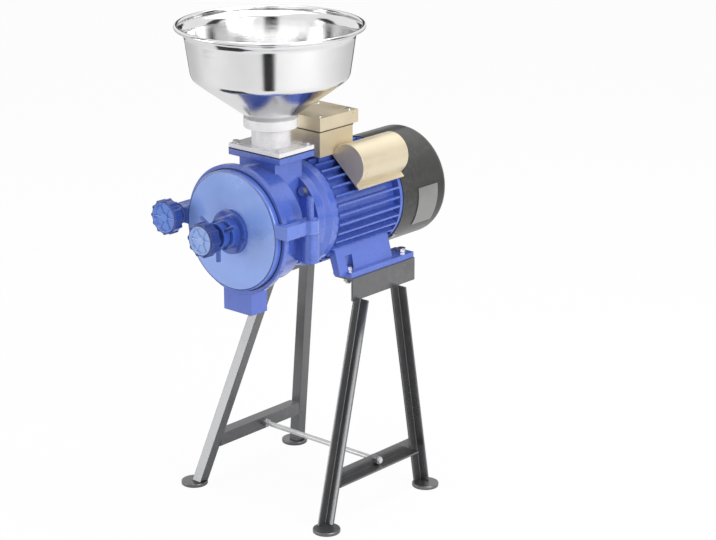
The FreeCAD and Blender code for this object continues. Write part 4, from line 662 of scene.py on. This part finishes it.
def makeGripTree():
    # rods repeated round a level line through a point: grips along it, or spokes when tilted
    tree, start, end = newGroup(
        "gripRing",
        [("Geometry", "NodeSocketGeometry", None), ("Count", "NodeSocketInt", 12),
         ("Ring Radius", "NodeSocketFloat", 0.02), ("Grip Radius", "NodeSocketFloat", 0.003),
         ("Grip Length", "NodeSocketFloat", 0.015), ("Grip Tilt", "NodeSocketVector", None),
         ("Centre", "NodeSocketVector", None), ("Material", "NodeSocketMaterial", None)],
        [("Geometry", "NodeSocketGeometry")],
        "GeometryNodeTree",
    )
    ring = tree.nodes.new("GeometryNodeMeshCircle")
    tree.links.new(start.outputs["Count"], ring.inputs["Vertices"])
    tree.links.new(start.outputs["Ring Radius"], ring.inputs["Radius"])
    rod = cylinderNode(tree, 20, start.outputs["Grip Radius"], start.outputs["Grip Length"])
    tilt = tree.nodes.new("GeometryNodeTransform")
    tree.links.new(rod, tilt.inputs["Geometry"])
    tree.links.new(start.outputs["Grip Tilt"], tilt.inputs["Rotation"])
    index = tree.nodes.new("GeometryNodeInputIndex")
    turn = mathNode(tree, "DIVIDE", mathNode(tree, "MULTIPLY", index.outputs[0], tau),
                    start.outputs["Count"])
    around = tree.nodes.new("ShaderNodeCombineXYZ")
    tree.links.new(turn, around.inputs["Z"])
    spread = tree.nodes.new("GeometryNodeInstanceOnPoints")
    tree.links.new(ring.outputs["Mesh"], spread.inputs["Points"])
    tree.links.new(tilt.outputs["Geometry"], spread.inputs["Instance"])
    tree.links.new(around.outputs[0], spread.inputs["Rotation"])
    level = tree.nodes.new("GeometryNodeTransform")
    level.inputs["Rotation"].default_value = (radians(90), 0, 0)
    tree.links.new(spread.outputs["Instances"], level.inputs["Geometry"])
    tree.links.new(start.outputs["Centre"], level.inputs["Translation"])
    closeTree(tree, start, end, [start.outputs["Geometry"], level.outputs["Geometry"]])
    return tree


def makeBoltTree():
    # a bolt at each point: washer, hexagon, turned crown and shank
    tree, start, end = newGroup(
        "hexBolts",
        [("Geometry", "NodeSocketGeometry", None), ("Head Radius", "NodeSocketFloat", 0.007),
         ("Head Thick", "NodeSocketFloat", 0.005), ("Shank Radius", "NodeSocketFloat", 0.004),
         ("Shank Length", "NodeSocketFloat", 0.02), ("Turn", "NodeSocketVector", None),
         ("Material", "NodeSocketMaterial", None)],
        [("Geometry", "NodeSocketGeometry")],
        "GeometryNodeTree",
    )
    radius, thick = start.outputs["Head Radius"], start.outputs["Head Thick"]
    length = start.outputs["Shank Length"]
    parts = [
        cylinderNode(tree, 32, mathNode(tree, "MULTIPLY", radius, 1.08),
                     mathNode(tree, "MULTIPLY", thick, 0.18), mathNode(tree, "MULTIPLY", thick, 0.09)),
        cylinderNode(tree, 6, radius, mathNode(tree, "MULTIPLY", thick, 0.74),
                     mathNode(tree, "MULTIPLY", thick, 0.55)),
        cylinderNode(tree, 32, mathNode(tree, "MULTIPLY", radius, 0.84),
                     mathNode(tree, "MULTIPLY", thick, 0.16), mathNode(tree, "MULTIPLY", thick, 0.92)),
        cylinderNode(tree, 24, start.outputs["Shank Radius"], length,
                     mathNode(tree, "MULTIPLY", length, -0.5)),
    ]
    bolt = tree.nodes.new("GeometryNodeJoinGeometry")
    for part in parts:
        tree.links.new(part, bolt.inputs[0])
    spread = tree.nodes.new("GeometryNodeInstanceOnPoints")
    tree.links.new(start.outputs["Geometry"], spread.inputs["Points"])
    tree.links.new(bolt.outputs[0], spread.inputs["Instance"])
    tree.links.new(start.outputs["Turn"], spread.inputs["Rotation"])
    closeTree(tree, start, end, [spread.outputs["Instances"]])
    return tree


gripTree = makeGripTree()
boltTree = makeBoltTree()


def useTree(piece, tree, values):
    modifier = piece.modifiers.new(tree.name, "NODES")
    modifier.node_group = tree
    for item in tree.interface.items_tree:
        if item.in_out == "INPUT" and item.name in values:
            modifier[item.identifier] = values[item.name]
    return applyModifiers(piece)


sharpAngle = radians(35.0)


def smoothByAngle(piece):
    for polygon in piece.data.polygons:
        polygon.use_smooth = True
    piece.data.set_sharp_from_angle(angle=sharpAngle)
    return piece


boltSets = {
    "motor_foot_bolts": {
        "name": "footBoltsHex", "head": 0.0072, "thick": 0.0053, "shank": 0.0040, "length": 0.0213,
        "turn": (0, 0, 0), "spots": [(x, y, 0.368) for x in (0.070, -0.070) for y in (0.0125, 0.1375)],
    },
    "neck_bolts": {
        "name": "neckBoltsHex", "head": 0.0057, "thick": 0.0042, "shank": 0.0030, "length": 0.0170,
        "turn": (0, 0, 0.3),
        "spots": [(x, y, 0.570) for x in (0.0435, -0.0435) for y in (-0.1087, -0.0497)],
    },
    "flange_bolts": {
        "name": "flangeBoltsHex", "head": 0.0072, "thick": 0.0053, "shank": 0.0040, "length": 0.0160,
        "turn": (radians(90), 0, 0),
        "spots": [
            (0.066 * cos(radians(a)), -0.060, shaftHeight + 0.066 * sin(radians(a))) for a in (45, 135, 225, 315)
        ],
    },
}
for node, look in boltSets.items():
    mesh = bpy.data.meshes.new(look["name"])
    mesh.from_pydata(look["spots"], [], [])
    piece = bpy.data.objects.new(look["name"], mesh)
    scene.collection.objects.link(piece)
    useTree(piece, boltTree, {
        "Head Radius": look["head"], "Head Thick": look["thick"], "Shank Radius": look["shank"],
        "Shank Length": look["length"], "Turn": look["turn"], "Material": materials["zinc"],
    })
    smoothByAngle(piece)
    finishPiece(piece, materials["zinc"], bodyOf[node], (node,))
print("bolts made")


# Hand wheel and clamp knob: turned cores with grips round the rim and spokes across the face

wheelLook = {
    "centre": (0, 0, shaftHeight), "body": "adjuster", "node": "adjusting_wheel",
    "name": "adjustingWheelLobed", "profile": [
        (-0.205, 0.0080), (-0.205, 0.0140), (-0.213, 0.0140), (-0.213, 0.0226), (-0.2145, 0.0240),
        (-0.2305, 0.0240),
        (-0.232, 0.0226), (-0.232, 0.0200), (-0.2288, 0.0180), (-0.2288, 0.0070), (-0.2312, 0.0062),
        (-0.2312, 0.0), (-0.2225, 0.0), (-0.2225, 0.0080),
    ],
    "grips": (10, 0.0218, 0.0042, 0.0170, -0.2225), "spokes": (6, 0.0125, 0.0017, 0.0130, -0.2288),
}
knobLook = {
    "centre": (-0.110, 0, 0.461), "body": "clamp_screw", "node": "clamp_knob", "name": "clampKnobLobed",
    "profile": [
        (-0.170, 0.0060), (-0.170, 0.0150), (-0.181, 0.0150), (-0.181, 0.0236), (-0.1825, 0.0252),
        (-0.1965, 0.0252),
        (-0.198, 0.0236), (-0.198, 0.0212), (-0.1942, 0.0190), (-0.1942, 0.0070), (-0.1965, 0.0060),
        (-0.1965, 0.0), (-0.1895, 0.0), (-0.1895, 0.0060),
    ],
    "grips": (12, 0.0236, 0.0034, 0.0150, -0.1895), "spokes": (6, 0.0130, 0.0016, 0.0130, -0.1942),
}
for look in (wheelLook, knobLook):
    material = materials[finishOf[look["node"]]]
    piece = turnedPiece(look["name"], look["profile"], look["centre"], steps=72)
    for detail, tilt in (("grips", (0, 0, 0)), ("spokes", (0, radians(90), 0))):
        count, out, thick, length, along = look[detail]
        useTree(piece, gripTree, {
            "Count": count, "Ring Radius": out, "Grip Radius": thick, "Grip Length": length,
            "Grip Tilt": tilt,
            "Centre": (look["centre"][0], along, look["centre"][2]), "Material": material,
        })
    smoothByAngle(piece)
    finishPiece(piece, material, look["body"], (look["node"],))
print("hand wheel and knob made")


# Joint line where the cover meets the housing's rim, and a dark band under the terminal box lid that is painted
# shadow of the lid's overhang

jointLook = {"front": -0.1572, "rear": -0.1569, "inner": 0.0912, "outer": 0.0926}
jointRing = turnedPiece("coverJointLine", [
    (jointLook["front"], jointLook["inner"]), (jointLook["front"], jointLook["outer"]),
    (jointLook["rear"], jointLook["outer"]), (jointLook["rear"], jointLook["inner"]),
], shaftCentre, steps=160)
finishPiece(smoothByAngle(jointRing), materials["jointGasket"], "mill_body")

# size of the dark band that is painted shadow under the lid's overhang
lidShadowLook = {"half": 0.0367, "front": -0.0127, "rear": 0.0627, "low": 0.5790, "high": 0.5829,
            "thick": 0.0006}


def makeLidShadowBand(look):
    work = bmesh.new()
    rings = []
    for inset, height in ((0, look["low"]), (0, look["high"]), (look["thick"], look["high"]),
                          (look["thick"], look["low"])):
        half, front, rear = look["half"] - inset, look["front"] + inset, look["rear"] - inset
        rings.append([work.verts.new(spot + (height,)) for spot in (
            (-half, front), (half, front), (half, rear), (-half, rear),
        )])
    for k in range(4):
        for i in range(4):
            j = (i + 1) % 4
            work.faces.new((rings[k][i], rings[k][j], rings[(k + 1) % 4][j], rings[(k + 1) % 4][i]))
    bmesh.ops.recalc_face_normals(work, faces=work.faces)
    mesh = bpy.data.meshes.new("terminalLidShadowBand")
    work.to_mesh(mesh)
    work.free()
    piece = bpy.data.objects.new("terminalLidShadowBand", mesh)
    scene.collection.objects.link(piece)
    return piece


# the band is painted shadow, not a real seal
finishPiece(makeLidShadowBand(lidShadowLook), materials["lidShadowPaint"], "mill_body")
print("joint line and lid shadow band made")


# Plain plate on the side of the fan cover

plateLook = {"radius": 0.0873, "front": 0.158, "rear": 0.204, "low": -34.0, "high": 8.0, "thick": 0.0006}


def makePlate(look):
    work = bmesh.new()
    steps = 14
    grid = []
    for k in range(2):
        radius = look["radius"] + k * look["thick"]
        rows = []
        for i in range(steps + 1):
            turn = radians(look["low"] + (look["high"] - look["low"]) * i / steps)
            rows.append([
                work.verts.new((radius * cos(turn), along, shaftHeight + radius * sin(turn)))
                for along in (look["front"], look["rear"])
            ])
        grid.append(rows)
    low, high = grid
    for i in range(steps):
        work.faces.new((high[i][0], high[i][1], high[i + 1][1], high[i + 1][0]))
        work.faces.new((low[i][0], low[i + 1][0], low[i + 1][1], low[i][1]))
        for side in (0, 1):
            work.faces.new((low[i][side], high[i][side], high[i + 1][side], low[i + 1][side]))
    for i in (0, steps):
        work.faces.new((low[i][0], low[i][1], high[i][1], high[i][0]))
    bmesh.ops.recalc_face_normals(work, faces=work.faces)
    mesh = bpy.data.meshes.new("barePlate")
    work.to_mesh(mesh)
    work.free()
    piece = bpy.data.objects.new("barePlate", mesh)
    scene.collection.objects.link(piece)
    return piece


finishPiece(makePlate(plateLook), materials["plateMetal"], "mill_body")
print("plate made")


# Floor, backdrop and lights

floorLook = {"half": 14, "grey": 0.86, "rough": 0.9, "cameraShare": 0.95}


def makeFloor(look):
    mesh = bpy.data.meshes.new("paleFloor")
    size = look["half"]
    mesh.from_pydata([(-size, -size, 0), (size, -size, 0), (size, size, 0), (-size, size, 0)], [],
                     [(0, 1, 2, 3)])
    floor = bpy.data.objects.new("paleFloor", mesh)
    scene.collection.objects.link(floor)
    material = bpy.data.materials.new("paleFloor")
    material.use_nodes = True
    tree = material.node_tree
    shader = tree.nodes["Principled BSDF"]
    shader.inputs["Base Color"].default_value = (look["grey"],) * 3 + (1,)
    shader.inputs["Roughness"].default_value = look["rough"]
    output = tree.nodes["Material Output"]
    light = tree.nodes.new("ShaderNodeEmission")
    light.inputs["Strength"].default_value = 1.0
    path = tree.nodes.new("ShaderNodeLightPath")
    mix = tree.nodes.new("ShaderNodeMixShader")
    share = mathNode(tree, "MULTIPLY", path.outputs["Is Camera Ray"], look["cameraShare"])
    tree.links.new(share, mix.inputs[0])
    tree.links.new(shader.outputs[0], mix.inputs[1])
    tree.links.new(light.outputs[0], mix.inputs[2])
    tree.links.new(mix.outputs[0], output.inputs["Surface"])
    floor.data.materials.append(material)


makeFloor(floorLook)

skyLook = {"seen": 1.0, "onSurfaces": 0.45}
world = bpy.data.worlds.new("studio")
scene.world = world
world.use_nodes = True
worldTree = world.node_tree
background = worldTree.nodes["Background"]
path = worldTree.nodes.new("ShaderNodeLightPath")
seen = mathNode(worldTree, "MAXIMUM", path.outputs["Is Camera Ray"], path.outputs["Is Glossy Ray"])
seen = mathNode(worldTree, "MAXIMUM", seen, path.outputs["Is Transmission Ray"])
extra = mathNode(worldTree, "MULTIPLY", seen, skyLook["seen"] - skyLook["onSurfaces"])
strength = mathNode(worldTree, "ADD", extra, skyLook["onSurfaces"])
worldTree.links.new(strength, background.inputs["Strength"])
background.inputs["Color"].default_value = (1, 1, 1, 1)


def addLamp(name, place, target, size, power):
    data = bpy.data.lights.new(name, "AREA")
    data.shape = "RECTANGLE"
    data.size, data.size_y = size
    data.energy = power
    lamp = bpy.data.objects.new(name, data)
    lamp.location = place
    aim = Vector(target) - Vector(place)
    lamp.rotation_euler = aim.to_track_quat("-Z", "Y").to_euler()
    scene.collection.objects.link(lamp)


def addCard(name, corners, shade):
    # a dark board that only mirror reflections see
    mesh = bpy.data.meshes.new(name)
    mesh.from_pydata(corners, [], [(0, 1, 2, 3)])
    card = bpy.data.objects.new(name, mesh)
    scene.collection.objects.link(card)
    material = bpy.data.materials.new(name)
    material.use_nodes = True
    tree = material.node_tree
    light = tree.nodes.new("ShaderNodeEmission")
    light.inputs["Color"].default_value = (shade, shade, shade, 1)
    tree.links.new(light.outputs[0], tree.nodes["Material Output"].inputs["Surface"])
    mesh.materials.append(material)
    for ray in ("camera", "diffuse", "transmission", "volume_scatter", "shadow"):
        setattr(card, "visible_" + ray, False)


def uprightCard(name, azimuth, distance, halfWidth, low, high, shade):
    out = Vector((cos(radians(azimuth)), sin(radians(azimuth)), 0))
    across = Vector((-out.y, out.x, 0)) * halfWidth
    foot = Vector((0, hopperY, 0)) + out * distance
    addCard(name, [
        tuple(foot - across + Vector((0, 0, low))), tuple(foot + across + Vector((0, 0, low))),
        tuple(foot + across + Vector((0, 0, high))), tuple(foot - across + Vector((0, 0, high))),
    ], shade)


viewAzimuth = cameraLook["turn"] - 90
cards = {
    "darkFrontLow": (viewAzimuth, 0.72, 0.10, 0.0, 0.52, 0.03),
    "darkFrontHigh": (viewAzimuth, 1.5, 0.26, 0.86, 2.2, 0.03),
    "darkBack": (viewAzimuth + 180, 1.6, 0.34, 0.75, 1.35, 0.03),
    "darkBackLow": (viewAzimuth + 180, 1.9, 0.62, 0.0, 0.28, 0.03),
    "darkSideLeft": (viewAzimuth - 90, 1.6, 0.34, 0.8, 2.2, 0.05),
    "darkSideRight": (viewAzimuth + 90, 1.6, 0.34, 0.8, 2.2, 0.05),
    "darkBoxFront": (-133, 1.75, 0.50, 0.0, 0.12, 0.05),
}
for name, look in cards.items():
    uprightCard(name, *look)
legCard = {"left": -0.52, "right": -0.06, "front": -0.66, "rear": -0.20, "height": 0.0008, "shade": 0.05}
addCard("darkLegFront", [
    (legCard["left"], legCard["front"], legCard["height"]),
    (legCard["right"], legCard["front"], legCard["height"]),
    (legCard["right"], legCard["rear"], legCard["height"]),
    (legCard["left"], legCard["rear"], legCard["height"]),
], legCard["shade"])

lamps = {
    "keyRight": ((2.6, -0.2, 1.5), (0, 0, 0.4), (1.6, 1.6), 44),
    "overhead": ((0.2, 0.3, 2.6), (0, 0, 0.4), (2.0, 2.0), 40),
    "frontLeft": ((-1.8, -2.2, 0.7), (0, 0, 0.4), (1.4, 1.4), 24),
}
for name, (place, target, size, power) in lamps.items():
    addLamp(name, place, target, size, power)
scene.view_settings.view_transform = "Standard"
print("studio made")
